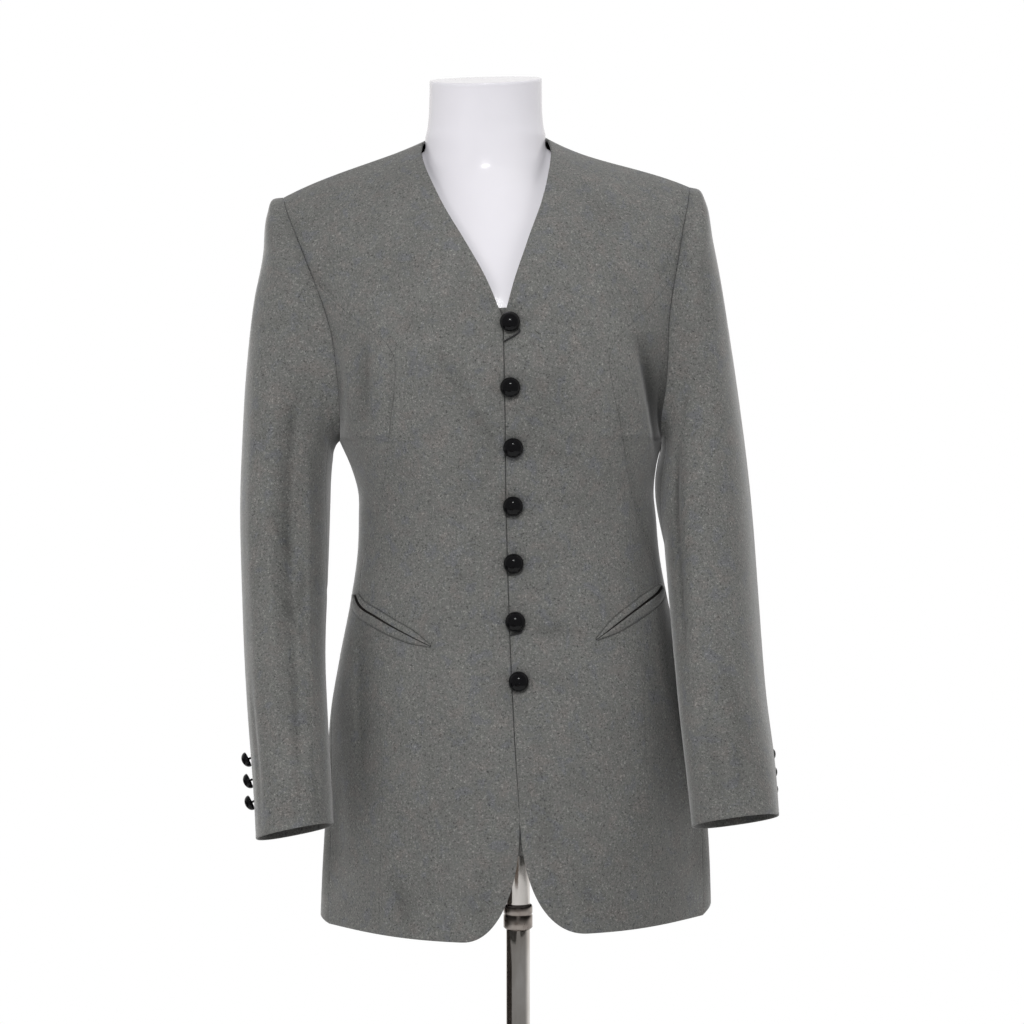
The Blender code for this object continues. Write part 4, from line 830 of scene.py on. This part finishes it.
def closed_mesh(name, outer, inner, coordinates, sign, materials, lined, deep=None):
    """A closed wall between two grids in mm; lined says which inner faces show the second one.

    deep is how far in each point lies in a crease, in mm, which the wool reads from the mesh and turns into
    painted shade in its colour.
    """
    rows, columns = outer.shape[:2]
    number = np.arange(rows * columns).reshape(rows, columns)
    a, b, c, d = number[:-1, :-1], number[:-1, 1:], number[1:, 1:], number[1:, :-1]
    faces = np.stack([a, b, c, d], -1).reshape(-1, 4)
    under = faces[:, ::-1] + rows * columns
    rim = np.concatenate([number[0, :-1], number[:-1, -1], number[-1, :0:-1], number[:0:-1, 0]])
    following = np.roll(rim, -1)
    side_faces = np.stack([following, rim, rim + rows * columns, following + rows * columns], -1)
    every = np.concatenate([faces, under, side_faces])
    if sign < 0:
        every = every[:, ::-1]
    points = np.concatenate([outer.reshape(-1, 3), inner.reshape(-1, 3)]) * MM
    mesh = bpy.data.meshes.new(name)
    mesh.from_pydata(points.tolist(), [], every.tolist())
    slots = np.zeros(len(every), np.int32)
    slots[len(faces):2 * len(faces)] = lined.reshape(-1)
    for material in materials:
        mesh.materials.append(material)
    mesh.polygons.foreach_set("material_index", slots)
    flat = np.tile(coordinates.reshape(-1, 2) * MM, (2, 1))
    layer = mesh.uv_layers.new(name="cloth")
    corner = np.zeros(len(mesh.loops), np.int32)
    mesh.loops.foreach_get("vertex_index", corner)
    layer.data.foreach_set("uv", flat[corner].ravel())
    if deep is not None:
        # Painted shade: the wool darkens its colour by this crease depth.
        crease_shade = mesh.attributes.new("crease_shade", "FLOAT", "POINT")
        crease_shade.data.foreach_set("value", np.tile(deep.reshape(-1), 2).astype(np.float32))
    mesh.shade_smooth()
    mesh.update()
    piece = bpy.data.objects.new(name, mesh)
    bpy.context.scene.collection.objects.link(piece)
    return piece


def finish_piece(piece, slot, *nodes):
    """A new piece stands for CAD nodes, which it hides, and rides on the one body; slot is not used."""
    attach(piece, "root")
    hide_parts(*nodes)
    return piece


def cloth_piece(name, points, deep, sign, rounds, thickness=WALL):
    """One cut piece of cloth from its grid of points in world mm, with round edges.

    rounds are the edges' radii: the first and last row, then the first and last column.
    """
    normals = grid_normals(points, sign)
    across, up = run_along(points, 1), run_along(points, 0)
    zero = np.zeros(points.shape[:2] + (1,))
    stack = np.concatenate([points, normals, across[..., None], up[..., None], zero,
                            deep[..., None]], -1)
    stack = edged(stack, SEWN_GAP, *rounds[:2])
    stack = np.swapaxes(edged(np.swapaxes(stack, 0, 1), SEWN_GAP, *rounds[2:]), 0, 1)
    normal = stack[..., 3:6] / np.linalg.norm(stack[..., 3:6], axis=-1)[..., None]
    scale = min(1.0, thickness / WALL)
    dig = stack[..., 8:9] * scale
    outer = stack[..., :3] - normal * dig
    inner = stack[..., :3] - normal * (thickness - dig)
    lined = np.zeros(tuple(n - 1 for n in outer.shape[:2]), np.int32)
    lined[LINING_FROM:-LINING_FROM, :] = 1
    piece = closed_mesh(name, outer, inner, stack[..., 6:8], sign, (WOOL, LINING), lined,
                        stack[..., 9])
    width, length = across[:, -1].max() * MM, up[-1].max() * MM
    area = surface_area(points)
    finish_piece(piece, "wool", name.replace("cloth_", ""))
    return piece


# ------------------------------------------------------------------ materials

class Shader:
    """A material's node tree, with short ways to add and join nodes."""

    def __init__(self, name, colour, roughness, metallic=0.0, **sockets):
        self.material = bpy.data.materials.new(name)
        self.material.use_nodes = True
        self.tree = self.material.node_tree
        self.shader = self.tree.nodes["Principled BSDF"]
        self.shader.inputs["Base Color"].default_value = (*colour, 1)
        self.shader.inputs["Roughness"].default_value = roughness
        self.shader.inputs["Metallic"].default_value = metallic
        for socket, value in sockets.items():
            self.shader.inputs[socket.replace("_", " ")].default_value = value

    def node(self, kind, **values):
        node = self.tree.nodes.new(kind)
        for name, value in values.items():
            setattr(node, name, value)
        return node

    def join(self, source, target):
        self.tree.links.new(source, target)

    def place(self, scale=(1, 1, 1), turn=(0, 0, 0), source="Object"):
        """The object's own coordinates in metres, or its cloth coordinates, scaled and turned."""
        origin = self.node("ShaderNodeTexCoord")
        mapping = self.node("ShaderNodeMapping")
        mapping.inputs["Scale"].default_value = scale
        mapping.inputs["Rotation"].default_value = tuple(math.radians(a) for a in turn)
        self.join(origin.outputs[source], mapping.inputs["Vector"])
        return mapping.outputs["Vector"]

    def noise(self, vector, scale, detail=2.0, roughness=0.5, distortion=0.0):
        noise = self.node("ShaderNodeTexNoise")
        noise.inputs["Scale"].default_value = scale
        noise.inputs["Detail"].default_value = detail
        noise.inputs["Roughness"].default_value = roughness
        noise.inputs["Distortion"].default_value = distortion
        self.join(vector, noise.inputs["Vector"])
        return noise.outputs["Fac"]

    def spread(self, value, low, high, to_low, to_high):
        change = self.node("ShaderNodeMapRange")
        for name, number in (("From Min", low), ("From Max", high), ("To Min", to_low),
                             ("To Max", to_high)):
            change.inputs[name].default_value = number
        self.join(value, change.inputs["Value"])
        return change.outputs["Result"]

    def ramp(self, value, stops):
        ramp = self.node("ShaderNodeValToRGB")
        elements = ramp.color_ramp.elements
        while len(elements) < len(stops):
            elements.new(0.5)
        for element, (place, colour) in zip(elements, stops):
            element.position = place
            element.color = (*colour, 1)
        self.join(value, ramp.inputs["Fac"])
        return ramp.outputs["Color"]

    def mix(self, first, second, share, kind="MIX"):
        mix = self.node("ShaderNodeMix", data_type="RGBA", blend_type=kind)
        for socket, value in ((mix.inputs[6], first), (mix.inputs[7], second), (mix.inputs[0], share)):
            if isinstance(value, bpy.types.NodeSocket):
                self.join(value, socket)
            else:
                socket.default_value = value
        return mix.outputs[2]

    def maths(self, operation, first, second):
        maths = self.node("ShaderNodeMath", operation=operation)
        for socket, value in zip(maths.inputs, (first, second)):
            if isinstance(value, bpy.types.NodeSocket):
                self.join(value, socket)
            else:
                socket.default_value = value
        return maths.outputs[0]

    def bump(self, height, distance, strength=1.0, under=None):
        bump = self.node("ShaderNodeBump")
        bump.inputs["Strength"].default_value = strength
        bump.inputs["Distance"].default_value = distance
        self.join(height, bump.inputs["Height"])
        if under is not None:
            self.join(under, bump.inputs["Normal"])
        self.join(bump.outputs["Normal"], self.shader.inputs["Normal"])
        return bump.outputs["Normal"]


def wool():
    """Salt-and-pepper melange: light and dark fibres in a fulled weave, with a soft sheen; its colour is
    darkened as painted shade in hollows and creases, and lightened a little on ridges as painted light.
    """
    m = Shader("wool_melange", (0.15, 0.15, 0.145), 0.9, Sheen_Weight=0.42, Sheen_Roughness=0.42,
               Specular_IOR_Level=0.12)
    cloth = m.place(source="UV")
    fibres = m.noise(m.place(), 960, 2, 0.6, 0.4)
    flecks = m.noise(m.place(), 500, 3, 0.65, 0.3)
    blend = m.maths("ADD", m.maths("MULTIPLY", fibres, 0.45), m.maths("MULTIPLY", flecks, 0.55))
    melange = m.ramp(blend, [(0.36, WOOL_DARK), (0.46, WOOL_MIDDLE), (0.54, WOOL_MIDDLE),
                             (0.67, WOOL_LIGHT)])
    tint = m.ramp(m.noise(m.place(), 62, 3, 0.55, 0.4), [
        (0.34, (0.93, 0.95, 1.0)), (0.45, (0.985, 1.0, 0.965)), (0.55, (1.0, 1.0, 0.985)),
        (0.66, (1.07, 1.03, 1.0))])
    colour = m.mix(melange, tint, 1.0, "MULTIPLY")
    cloudy = m.spread(m.noise(m.place(), 24, 3, 0.6), 0.3, 0.7, 0.94, 1.06)
    cloud = m.node("ShaderNodeCombineColor")
    for socket in cloud.inputs:
        m.join(cloudy, socket)
    colour = m.mix(colour, cloud.outputs[0], 1.0, "MULTIPLY")
    # Painted shade: an ambient-occlusion node darkens the colour in hollows, creases and where parts lie
    # close.
    hollow = m.node("ShaderNodeAmbientOcclusion", samples=6)
    hollow.inputs["Distance"].default_value = 0.016
    shade = m.ramp(hollow.outputs["AO"], [(0.3, (0.36, 0.36, 0.36)), (0.8, (0.9, 0.9, 0.9)),
                                          (0.97, (1, 1, 1))])
    colour = m.mix(colour, shade, 1.0, "MULTIPLY")
    # Painted shade and light: the crease depth read here darkens the colour in creases, in the armpit pit
    # and along the jets' sewn edges, and lightens it a little on ridges.
    crease = m.node("ShaderNodeAttribute", attribute_name="crease_shade")
    shade = m.ramp(m.spread(crease.outputs["Fac"], -3, 9, 0, 1), [
        (0.0, (1.05, 1.05, 1.05)), (0.25, (1, 1, 1)), (0.5, (0.74, 0.74, 0.74)), (1.0, (0.1, 0.1, 0.1))])
    colour = m.mix(colour, shade, 1.0, "MULTIPLY")
    m.join(colour, m.shader.inputs["Base Color"])
    m.join(m.spread(flecks, 0.3, 0.7, 0.8, 1.0), m.shader.inputs["Roughness"])
    twill = m.node("ShaderNodeTexWave", wave_type="BANDS", bands_direction="DIAGONAL")
    twill.inputs["Scale"].default_value = 190
    twill.inputs["Distortion"].default_value = 2.5
    twill.inputs["Detail"].default_value = 2
    twill.inputs["Detail Scale"].default_value = 3
    m.join(cloth, twill.inputs["Vector"])
    relief = m.maths("ADD", m.maths("MULTIPLY", twill.outputs["Fac"], 0.35), blend)
    weave = m.bump(relief, 0.00022, 0.6)
    m.bump(m.noise(m.place(), 48, 3, 0.5), 0.0011, 0.45, weave)
    return m.material


WOOL_DARK = (0.05, 0.05, 0.05)
WOOL_MIDDLE = (0.142, 0.142, 0.14)
WOOL_LIGHT = (0.3, 0.298, 0.29)


def lining():
    """Dark satin lining: fine ribs and a soft shine."""
    m = Shader("lining_satin", (0.02, 0.018, 0.017), 0.45, Specular_IOR_Level=0.3)
    cloth = m.place((1, 0.12, 1), source="UV")
    threads = m.noise(cloth, 1600, 2)
    m.join(m.ramp(threads, [(0.3, (0.012, 0.011, 0.01)), (0.7, (0.034, 0.03, 0.028))]),
           m.shader.inputs["Base Color"])
    m.join(m.spread(m.noise(m.place(), 40, 2), 0.3, 0.7, 0.38, 0.55), m.shader.inputs["Roughness"])
    m.bump(threads, 0.0001, 0.4)
    return m.material


def button_gloss():
    """Polished black buttons, with faint waves and scuffs."""
    m = Shader("button_black", (0.003, 0.003, 0.0035), 0.12, Specular_IOR_Level=0.12,
               Coat_Weight=0.16, Coat_Roughness=0.03)
    wear = m.noise(m.place(), 900, 4, 0.6)
    m.join(m.ramp(wear, [(0.35, (0.002, 0.002, 0.0025)), (0.75, (0.005, 0.005, 0.006))]),
           m.shader.inputs["Base Color"])
    m.join(m.spread(wear, 0.3, 0.8, 0.1, 0.2), m.shader.inputs["Roughness"])
    m.bump(m.noise(m.place(), 240, 2), 0.0001, 0.15)
    return m.material


def cord_black():
    """Thin twisted cord."""
    m = Shader("cord_black", (0.012, 0.012, 0.013), 0.75, Sheen_Weight=0.15)
    twist = m.node("ShaderNodeTexWave", wave_type="BANDS", bands_direction="DIAGONAL")
    twist.inputs["Scale"].default_value = 500
    twist.inputs["Distortion"].default_value = 1.5
    m.join(m.place(), twist.inputs["Vector"])
    m.join(m.ramp(twist.outputs["Fac"], [(0.0, (0.006, 0.006, 0.007)), (1.0, (0.03, 0.03, 0.032))]),
           m.shader.inputs["Base Color"])
    m.join(m.spread(m.noise(m.place(), 1400), 0.3, 0.7, 0.65, 0.9), m.shader.inputs["Roughness"])
    m.bump(twist.outputs["Fac"], 0.0002, 0.7)
    return m.material


def form_gloss():
    """Glossy white lacquered form, with the faint waves of sprayed lacquer."""
    m = Shader("form_white", (0.76, 0.745, 0.79), 0.25, Specular_IOR_Level=0.25, Coat_Weight=0.12,
               Coat_Roughness=0.08)
    shade = m.noise(m.place(), 9, 3, 0.5)
    skin = m.ramp(shade, [(0.3, (0.72, 0.707, 0.753)), (0.7, (0.76, 0.747, 0.79))])
    m.join(skin, m.shader.inputs["Base Color"])
    m.join(m.spread(m.noise(m.place(), 160, 3), 0.3, 0.7, 0.16, 0.24), m.shader.inputs["Roughness"])
    m.bump(m.noise(m.place(), 260, 2), 0.0002, 0.08)
    return m.material


def chrome():
    """Polished tube with fine vertical draw marks and faint smears."""
    m = Shader("chrome_tube", (0.62, 0.6, 0.58), 0.1, 1.0)
    marks = m.noise(m.place((1, 1, 0.02)), 2600, 2)
    smears = m.noise(m.place((1, 1, 0.35)), 60, 3)
    m.join(m.ramp(smears, [(0.3, (0.5, 0.47, 0.44)), (0.7, (0.7, 0.68, 0.66))]),
           m.shader.inputs["Base Color"])
    m.join(m.spread(smears, 0.3, 0.7, 0.07, 0.16), m.shader.inputs["Roughness"])
    m.bump(marks, 0.00004, 0.3)
    return m.material


def dark_steel():
    m = Shader("collar_steel", (0.2, 0.17, 0.15), 0.28, 1.0)
    smears = m.noise(m.place((1, 1, 0.5)), 120, 3)
    m.join(m.ramp(smears, [(0.3, (0.24, 0.205, 0.185)), (0.7, (0.42, 0.38, 0.35))]),
           m.shader.inputs["Base Color"])
    m.join(m.spread(smears, 0.3, 0.7, 0.22, 0.38), m.shader.inputs["Roughness"])
    m.bump(m.noise(m.place((1, 1, 0.1)), 1800), 0.00005, 0.3)
    return m.material


def brushed_steel():
    """Round base, brushed in rings, a little worn at the edge."""
    m = Shader("base_steel", (0.52, 0.52, 0.53), 0.3, 1.0)
    rings = m.node("ShaderNodeTexWave", wave_type="RINGS", rings_direction="Z")
    rings.inputs["Scale"].default_value = 420
    rings.inputs["Distortion"].default_value = 3
    rings.inputs["Detail"].default_value = 3
    m.join(m.place(), rings.inputs["Vector"])
    m.join(m.ramp(m.noise(m.place(), 14, 4), [(0.3, (0.46, 0.46, 0.47)), (0.7, (0.58, 0.58, 0.59))]),
           m.shader.inputs["Base Color"])
    m.join(m.spread(rings.outputs["Fac"], 0.0, 1.0, 0.24, 0.38), m.shader.inputs["Roughness"])
    m.bump(rings.outputs["Fac"], 0.00004, 0.4)
    return m.material


def floor_paint():
    m = Shader("studio_floor", (0.8, 0.8, 0.8), 0.7)
    m.join(m.ramp(m.noise(m.place(), 3, 4), [(0.3, (0.77, 0.77, 0.77)), (0.7, (0.82, 0.82, 0.82))]),
           m.shader.inputs["Base Color"])
    m.bump(m.noise(m.place(), 90, 4), 0.0006, 0.1)
    return m.material


WOOL = wool()
LINING = lining()
BUTTON = button_gloss()
CORD = cord_black()
FORM = form_gloss()
CHROME = chrome()
COLLAR = dark_steel()
STEEL = brushed_steel()


# ------------------------------------------------------------------ pieces

def build_cloth():
    for side, word in SIDE_NAMES.items():
        front, side_front, back = ("cloth_" + part + word for part in ("front_", "side_front_", "back_"))
        torso = ["dress_form"]
        for name, (points, deep), sign, rests_on, rounds in (
                (front, fine_front(side), side, torso, (FREE, SEWN, FREE, SEWN)),
                (side_front, fine_side_front(side), side, torso, (FREE, SEWN, SEWN, SEWN)),
                (back, fine_back(side), -side, torso, (FREE, SEWN, SEWN, SEWN)),
                ("cloth_sleeve_top_" + word, fine_sleeve(side, "back", "front", TOP_COLUMNS, -360), side,
                 [front, back], (SEWN, FREE, SEWN, SEWN)),
                ("cloth_sleeve_under_" + word, fine_sleeve(side, "front", "back", UNDER_COLUMNS, 0), side,
                 [side_front, back], (SEWN, FREE, SEWN, SEWN))):
            cloth_piece(name, world_point(points, side), deep, sign, rounds)


def build_underlap():
    """The strip behind the closed edges; it shows at the V's foot and above the vent."""
    levels = spread(UNDERLAP_FOOT, UNDERLAP_TOP)
    offs = np.linspace(UNDERLAP[0], UNDERLAP[-1], 12)
    points = np.zeros((len(levels), len(offs), 3))
    for c, off in enumerate(offs):
        side = WEARER_RIGHT if off < 0 else WEARER_LEFT
        x = side * (column(CLOSURE, "x", levels) + off)
        spot, _ = front_spot(side, np.maximum(x, column(OPENING, "x", levels)), levels)
        points[:, c] = spot
        points[:, c, 0] = column(CENTRE_LINE, "x", levels, key="z") + column(CLOSURE, "x", levels) + off
        points[:, c, 1] += WALL + UNDERLAP_GAP
    for _ in range(3):          # evens the strip out where its two halves meet
        points[:, 1:-1, 1] = (points[:, :-2, 1] + 2 * points[:, 1:-1, 1] + points[:, 2:, 1]) / 4
    cloth_piece("cloth_underlap", points, 0.0 * points[..., 0], WEARER_LEFT,
                (FREE, FREE, FREE, FREE), UNDERLAP_WALL)


JET_LINES = 14
MOUTH_DROP = 0.35             # the dark mouth of the pocket lies this far above the cloth


def joined(name, pieces):
    """One piece made of several closed parts that belong to the same strip of cloth."""
    whole = bmesh.new()
    for piece in pieces:
        whole.from_mesh(piece.data)
    whole.to_mesh(pieces[0].data)
    whole.free()
    for piece in pieces[1:]:
        bpy.data.objects.remove(piece)
    pieces[0].name = name
    return pieces[0]


# Painted shade: the jets' sewn edges get this crease depth, so the wool's colour darkens there.
SEAM_SHADE = 4.8              # a jet's sewn edge is as dark as a crease this deep


def build_pockets():
    """Each pocket's two jets, folded strips with a round back, their sewn edges darkened as painted shade;
    between them a dark lining strip lies on the cloth, the pocket's lining and the painted shade of its
    opening.

    Both jets and the mouth are one strip of cloth, slashed along the slit and turned through.
    """
    for side, word in SIDE_NAMES.items():
        rows = POCKETS[side]
        along = np.linspace(0, 1, POCKET_STEPS)
        run = np.linspace(0, 1, len(rows["x"]))
        slit = {name: through(run, values, along) for name, values in rows.items()}
        fall = np.gradient(slit["z"], slit["x"])
        across = np.stack([-fall, np.ones_like(fall)], 1) / np.sqrt(1 + fall ** 2)[:, None]
        pieces, width, area = [], 0.0, 0.0

        def beside(away):
            return front_spot(side, slit["x"] + away * across[:, 0], slit["z"] + away * across[:, 1])

        def strip(outer, inner, sign, material, deep=None):
            nonlocal width, area
            coordinates = np.stack([run_along(outer, 0), run_along(outer, 1)], -1)
            number = np.full(tuple(n - 1 for n in outer.shape[:2]), material, np.int32)
            piece = closed_mesh("strip", outer, inner, coordinates, sign, (WOOL, LINING), number,
                                deep)
            if material:
                piece.data.polygons.foreach_set("material_index",
                                                np.ones(len(piece.data.polygons), np.int32))
            width += coordinates[-1, :, 0].max() * MM
            area += surface_area(outer)
            pieces.append(piece)
            return coordinates[:, -1, 1].max() * MM
        for jet, sign in (("upper", 1), ("lower", -1)):
            outer, inner = [], []
            for part in np.linspace(0, 1, JET_LINES):
                spot, normal = beside(sign * (slit["gape"] + part * slit[jet]))
                crown = math.sqrt(max(1 - (2 * part - 1) ** 6, 0))
                ends = np.sqrt(np.clip(1 - np.abs(2 * along - 1) ** 24, 0, 1))
                sewn = 1 - 0.75 * part ** 3
                rise = JET_GAP + JET_WALL * (0.5 + 0.5 * crown * ends)
                outer.append(spot + (rise * sewn)[:, None] * normal)
                low = JET_GAP + JET_WALL * (0.5 - 0.5 * crown * ends)
                inner.append(spot + (low * sewn - 0.02)[:, None] * normal)
            part = np.linspace(0, 1, JET_LINES)[:, None] + 0 * along
            seam = SEAM_SHADE * np.clip((part - 0.78) / 0.15, 0, 1)
            length = strip(np.stack(outer), np.stack(inner), -side * sign, 0, seam)
        # Painted shade: a dark lining strip laid on the uncut front between the jets stands for the open
        # slit, the pocket's lining and its shade.
        mouth = np.stack([spot + MOUTH_DROP * normal for spot, normal in (
            beside(part * (slit["gape"] + 0.9)) for part in np.linspace(-1, 1, 5))])
        strip(mouth, mouth + np.array([0, 0.2, 0]), -side, 1)
        name = "cloth_pocket_jets_" + word
        piece = joined(name, pieces)
        finish_piece(piece, "wool", "pocket_upper_jet_" + word, "pocket_lower_jet_" + word)


def revolved(name, profile, steps, material, place=None, direction=None):
    """A piece turned round its own Z axis; the profile runs down its outer side, in mm."""
    angle = np.arange(steps) * 2 * math.pi / steps
    points = []
    rings = []
    for r, z in profile:
        if r < 1e-6:
            rings.append([len(points)])
            points.append((0.0, 0.0, z))
        else:
            rings.append(list(range(len(points), len(points) + steps)))
            points += [(r * math.cos(a), r * math.sin(a), z) for a in angle]
    faces = []
    for high, low in zip(rings, rings[1:]):
        for i in range(steps):
            j = (i + 1) % steps
            if len(high) == 1 and len(low) > 1:
                faces.append((high[0], low[i], low[j]))
            elif len(low) == 1 and len(high) > 1:
                faces.append((high[j], high[i], low[0]))
            elif len(high) > 1:
                faces.append((high[j], high[i], low[i], low[j]))
    mesh = bpy.data.meshes.new(name)
    mesh.from_pydata([tuple(MM * v for v in p) for p in points], [], faces)
    mesh.materials.append(material)
    if place is not None:
        turn = Vector(direction).to_track_quat("Z", "Y").to_matrix().to_4x4()
        turn.translation = Vector(place * MM)
        mesh.transform(turn)
    mesh.shade_smooth()
    mesh.set_sharp_from_angle(angle=math.radians(50))
    piece = bpy.data.objects.new(name, mesh)
    bpy.context.scene.collection.objects.link(piece)
    return piece


def arc(radius_x, radius_z, centre_r, centre_z, start, end, count):
    """Points of a quarter or more of an ellipse, as pairs of radius and height."""
    angles = np.radians(np.linspace(start, end, count))
    return [(centre_r + radius_x * math.sin(a), centre_z + radius_z * math.cos(a)) for a in angles]


def button_profile(radius, dome, shank, hollow):
    """A dome with a rolled rim, a back that is hollowed a little, and its shank."""
    rim = BUTTON_STAND + 0.8
    profile = arc(radius, dome, 0, rim, 0, 90, 22)
    profile += arc(0.55, 0.8, radius - 0.55, rim, 100, 180, 6)
    profile += [(0.8 * radius, BUTTON_STAND + 0.4 * hollow), (0.5 * radius, BUTTON_STAND + hollow),
                (shank + 0.6, BUTTON_STAND + hollow), (shank, BUTTON_STAND + hollow - 0.4)]
    profile += [(0.86 * shank, BUTTON_STAND / 2), (shank, 0.4), (shank - 0.3, 0), (0, 0)]
    return profile


def build_front_buttons():
    side = WEARER_LEFT
    rows = zip(*FRONT_BUTTONS.values())
    for number, (off, z, turn_out, turn_down, drop) in enumerate(rows, 1):
        x = column(CLOSURE, "x", z) + off
        spot, normal = front_spot(side, x, z)
        piece = revolved(f"domed_button_{number}",
                         button_profile(BUTTON_RADIUS, BUTTON_DOME, SHANK_RADIUS, 0.6), 72, BUTTON,
                         spot[0] + LIE_GAP * normal[0], normal[0])
        finish_piece(piece, "button", f"front_button_{number}")
        build_loop(number, x, z, off, turn_out, turn_down, drop)


def build_loop(number, x, z, off, turn_out, turn_down, drop):
    """A thin cord from the overlapping front's edge, round the shank and back to the edge."""
    route = np.array(loop_route(off, turn_out, turn_down, drop))
    at = np.linspace(0, len(route) - 1, 48)
    knots = np.arange(len(route), dtype=float)
    across, up = through(knots, route[:, 0], at), through(knots, route[:, 1], at)
    spot, normal = front_spot(WEARER_LEFT, x + across, z + up)
    points = (spot + LOOP_RISE * normal) * MM
    curve = bpy.data.curves.new(f"cord_loop_{number}", "CURVE")
    curve.dimensions = "3D"
    curve.bevel_depth = 0.8 * LOOP_RADIUS * MM
    curve.bevel_resolution = 4
    curve.use_fill_caps = True
    spline = curve.splines.new("POLY")
    spline.points.add(len(points) - 1)
    spline.points.foreach_set("co", np.concatenate([points, np.ones((len(points), 1))], 1).ravel())
    curve.materials.append(CORD)
    piece = bpy.data.objects.new(f"cord_loop_{number}", curve)
    bpy.context.scene.collection.objects.link(piece)
    finish_piece(piece, "cord", f"button_loop_{number}")


def build_cuff_buttons():
    for side, word in SIDE_NAMES.items():
        for number, down in enumerate(CUFF_BUTTONS, 1):
            spot, normal, along = sleeve_spot(side, down)
            droop = math.radians(CUFF_DROOP)
            direction = math.cos(droop) * normal + math.sin(droop) * along
            stand = LIE_GAP + CUFF_SHANK_RADIUS * math.sin(droop)
            piece = revolved(f"cuff_dome_{word}_{number}",
                             button_profile(CUFF_BUTTON_RADIUS, CUFF_BUTTON_DOME,
                                            CUFF_SHANK_RADIUS * 0.7, 2.4), 56, BUTTON,
                             spot + stand * normal, direction)
            finish_piece(piece, "button", f"cuff_button_{word}_{number}")


FORM_AROUND = 96


def build_form():
    """The form's rings, drawn finely, with a round edge at the flat cap."""
    global FORM_SIDES
    FORM_SIDES = FORM_AROUND
    heights = np.concatenate([spread(TORSO["z"][0], TORSO["z"][-1]), [TORSO["z"][-1]] * 3])
    rings = [world_point(form_ring(z), WEARER_LEFT) for z in heights]
    top = rings[-1]
    centre = top.mean(axis=0)
    for number, (pull, rise) in enumerate(((0.5, 0.5), (1.4, 0.85), (2.6, 1.0)), 1):
        away = (centre - top) / np.linalg.norm(centre - top, axis=1)[:, None]
        rings[-4 + number] = top + pull * away + np.array([0, 0, rise - 1.0])
    rings[-4] = top - np.array([0, 0, 1.0])
    cap = [centre + (ring_share * (rings[-1] - centre)) for ring_share in (0.8, 0.5, 0.2)]
    bottom = rings[0]
    foot_centre = bottom.mean(axis=0)
    foot = [foot_centre + ring_share * (bottom - foot_centre) for ring_share in (0.2, 0.6, 0.9)]
    rings = foot + rings + cap
    count = FORM_AROUND
    points = np.concatenate(rings) * MM
    faces = [tuple(reversed(range(count)))]
    for r in range(len(rings) - 1):
        for i in range(count):
            j = (i + 1) % count
            faces.append((r * count + i, r * count + j, (r + 1) * count + j, (r + 1) * count + i))
    faces.append(tuple((len(rings) - 1) * count + i for i in range(count)))
    mesh = bpy.data.meshes.new("dress_form")
    mesh.from_pydata(points.tolist(), [], faces)
    mesh.materials.append(FORM)
    mesh.shade_smooth()
    piece = bpy.data.objects.new("dress_form", mesh)
    bpy.context.scene.collection.objects.link(piece)
    finish_piece(piece, "form", "form_torso")


def tube_profile(radius, low, high, edge):
    return [(0, high), (radius - edge, high), (radius - 0.3 * edge, high - 0.3 * edge),
            (radius, high - edge), (radius, (high + low) / 2), (radius, low + edge),
            (radius - 0.3 * edge, low + 0.3 * edge), (radius - edge, low), (0, low)]


def build_stand():
    lower = revolved("tube_lower", tube_profile(POLE_RADIUS, HUB_TOP + FACE_GAP,
                                                COLLAR_FOOT - FACE_GAP, 0.5), 96, CHROME)
    finish_piece(lower, "chrome", "pole_lower")
    collar = revolved("tube_collar", [
        (0, COLLAR_TOP), (COLLAR_RADIUS - 2.2, COLLAR_TOP), (COLLAR_RADIUS - 0.7, COLLAR_TOP - 0.6),
        (COLLAR_RADIUS, COLLAR_TOP - 2.2), (COLLAR_RADIUS, COLLAR_TOP - 8),
        (COLLAR_RADIUS - 0.6, COLLAR_TOP - 8.6), (COLLAR_RADIUS - 0.6, COLLAR_TOP - 10),
        (COLLAR_RADIUS, COLLAR_TOP - 10.6), (COLLAR_RADIUS, COLLAR_FOOT + 1.6),
        (COLLAR_RADIUS - 1.6, COLLAR_FOOT), (0, COLLAR_FOOT)], 96, COLLAR)
    finish_piece(collar, "chrome", "pole_collar")
    upper = revolved("tube_upper", tube_profile(POLE_RADIUS, COLLAR_TOP + FACE_GAP,
                                                TORSO["z"][0] - FACE_GAP, 0.5), 96, CHROME)
    finish_piece(upper, "chrome", "pole_upper")
    rounded = arc(2.0, 2.0, HUB_RADIUS - 2, HUB_TOP - 2, 0, 90, 7)
    foot = arc(6.0, -6.0, HUB_RADIUS + 8, BASE_WALL + 6, -90, 0, 7)
    edge = arc(BASE_EDGE, BASE_EDGE, BASE_RADIUS - BASE_EDGE, BASE_WALL - BASE_EDGE, 0, 90, 8)
    base = revolved("round_base", [(0, HUB_TOP)] + rounded + foot + edge
                    + [(BASE_RADIUS, 1), (BASE_RADIUS - 1, 0), (0, 0)], 160, STEEL)
    finish_piece(base, "base", "stand_base")


def add_floor():
    mesh = bpy.data.meshes.new("floor")
    angle = np.arange(96) * 2 * math.pi / 96
    mesh.from_pydata([(FLOOR_REACH * math.cos(a), FLOOR_REACH * math.sin(a), 0) for a in angle], [],
                     [tuple(range(96))])
    mesh.materials.append(floor_paint())
    floor = bpy.data.objects.new("floor", mesh)
    bpy.context.scene.collection.objects.link(floor)


build_form()
build_cloth()
build_underlap()
build_pockets()
build_front_buttons()
build_cuff_buttons()
build_stand()
add_floor()
add_flag("flag_left", (-0.95, 0.15, 0.02), 1.5, 0.72, 80, (0.03, 0.024, 0.02))
add_flag("flag_front", (-0.35, -1.25, 0.02), 0.9, 0.5, -12, (0.16, 0.13, 0.11))

bpy.context.view_layer.update()
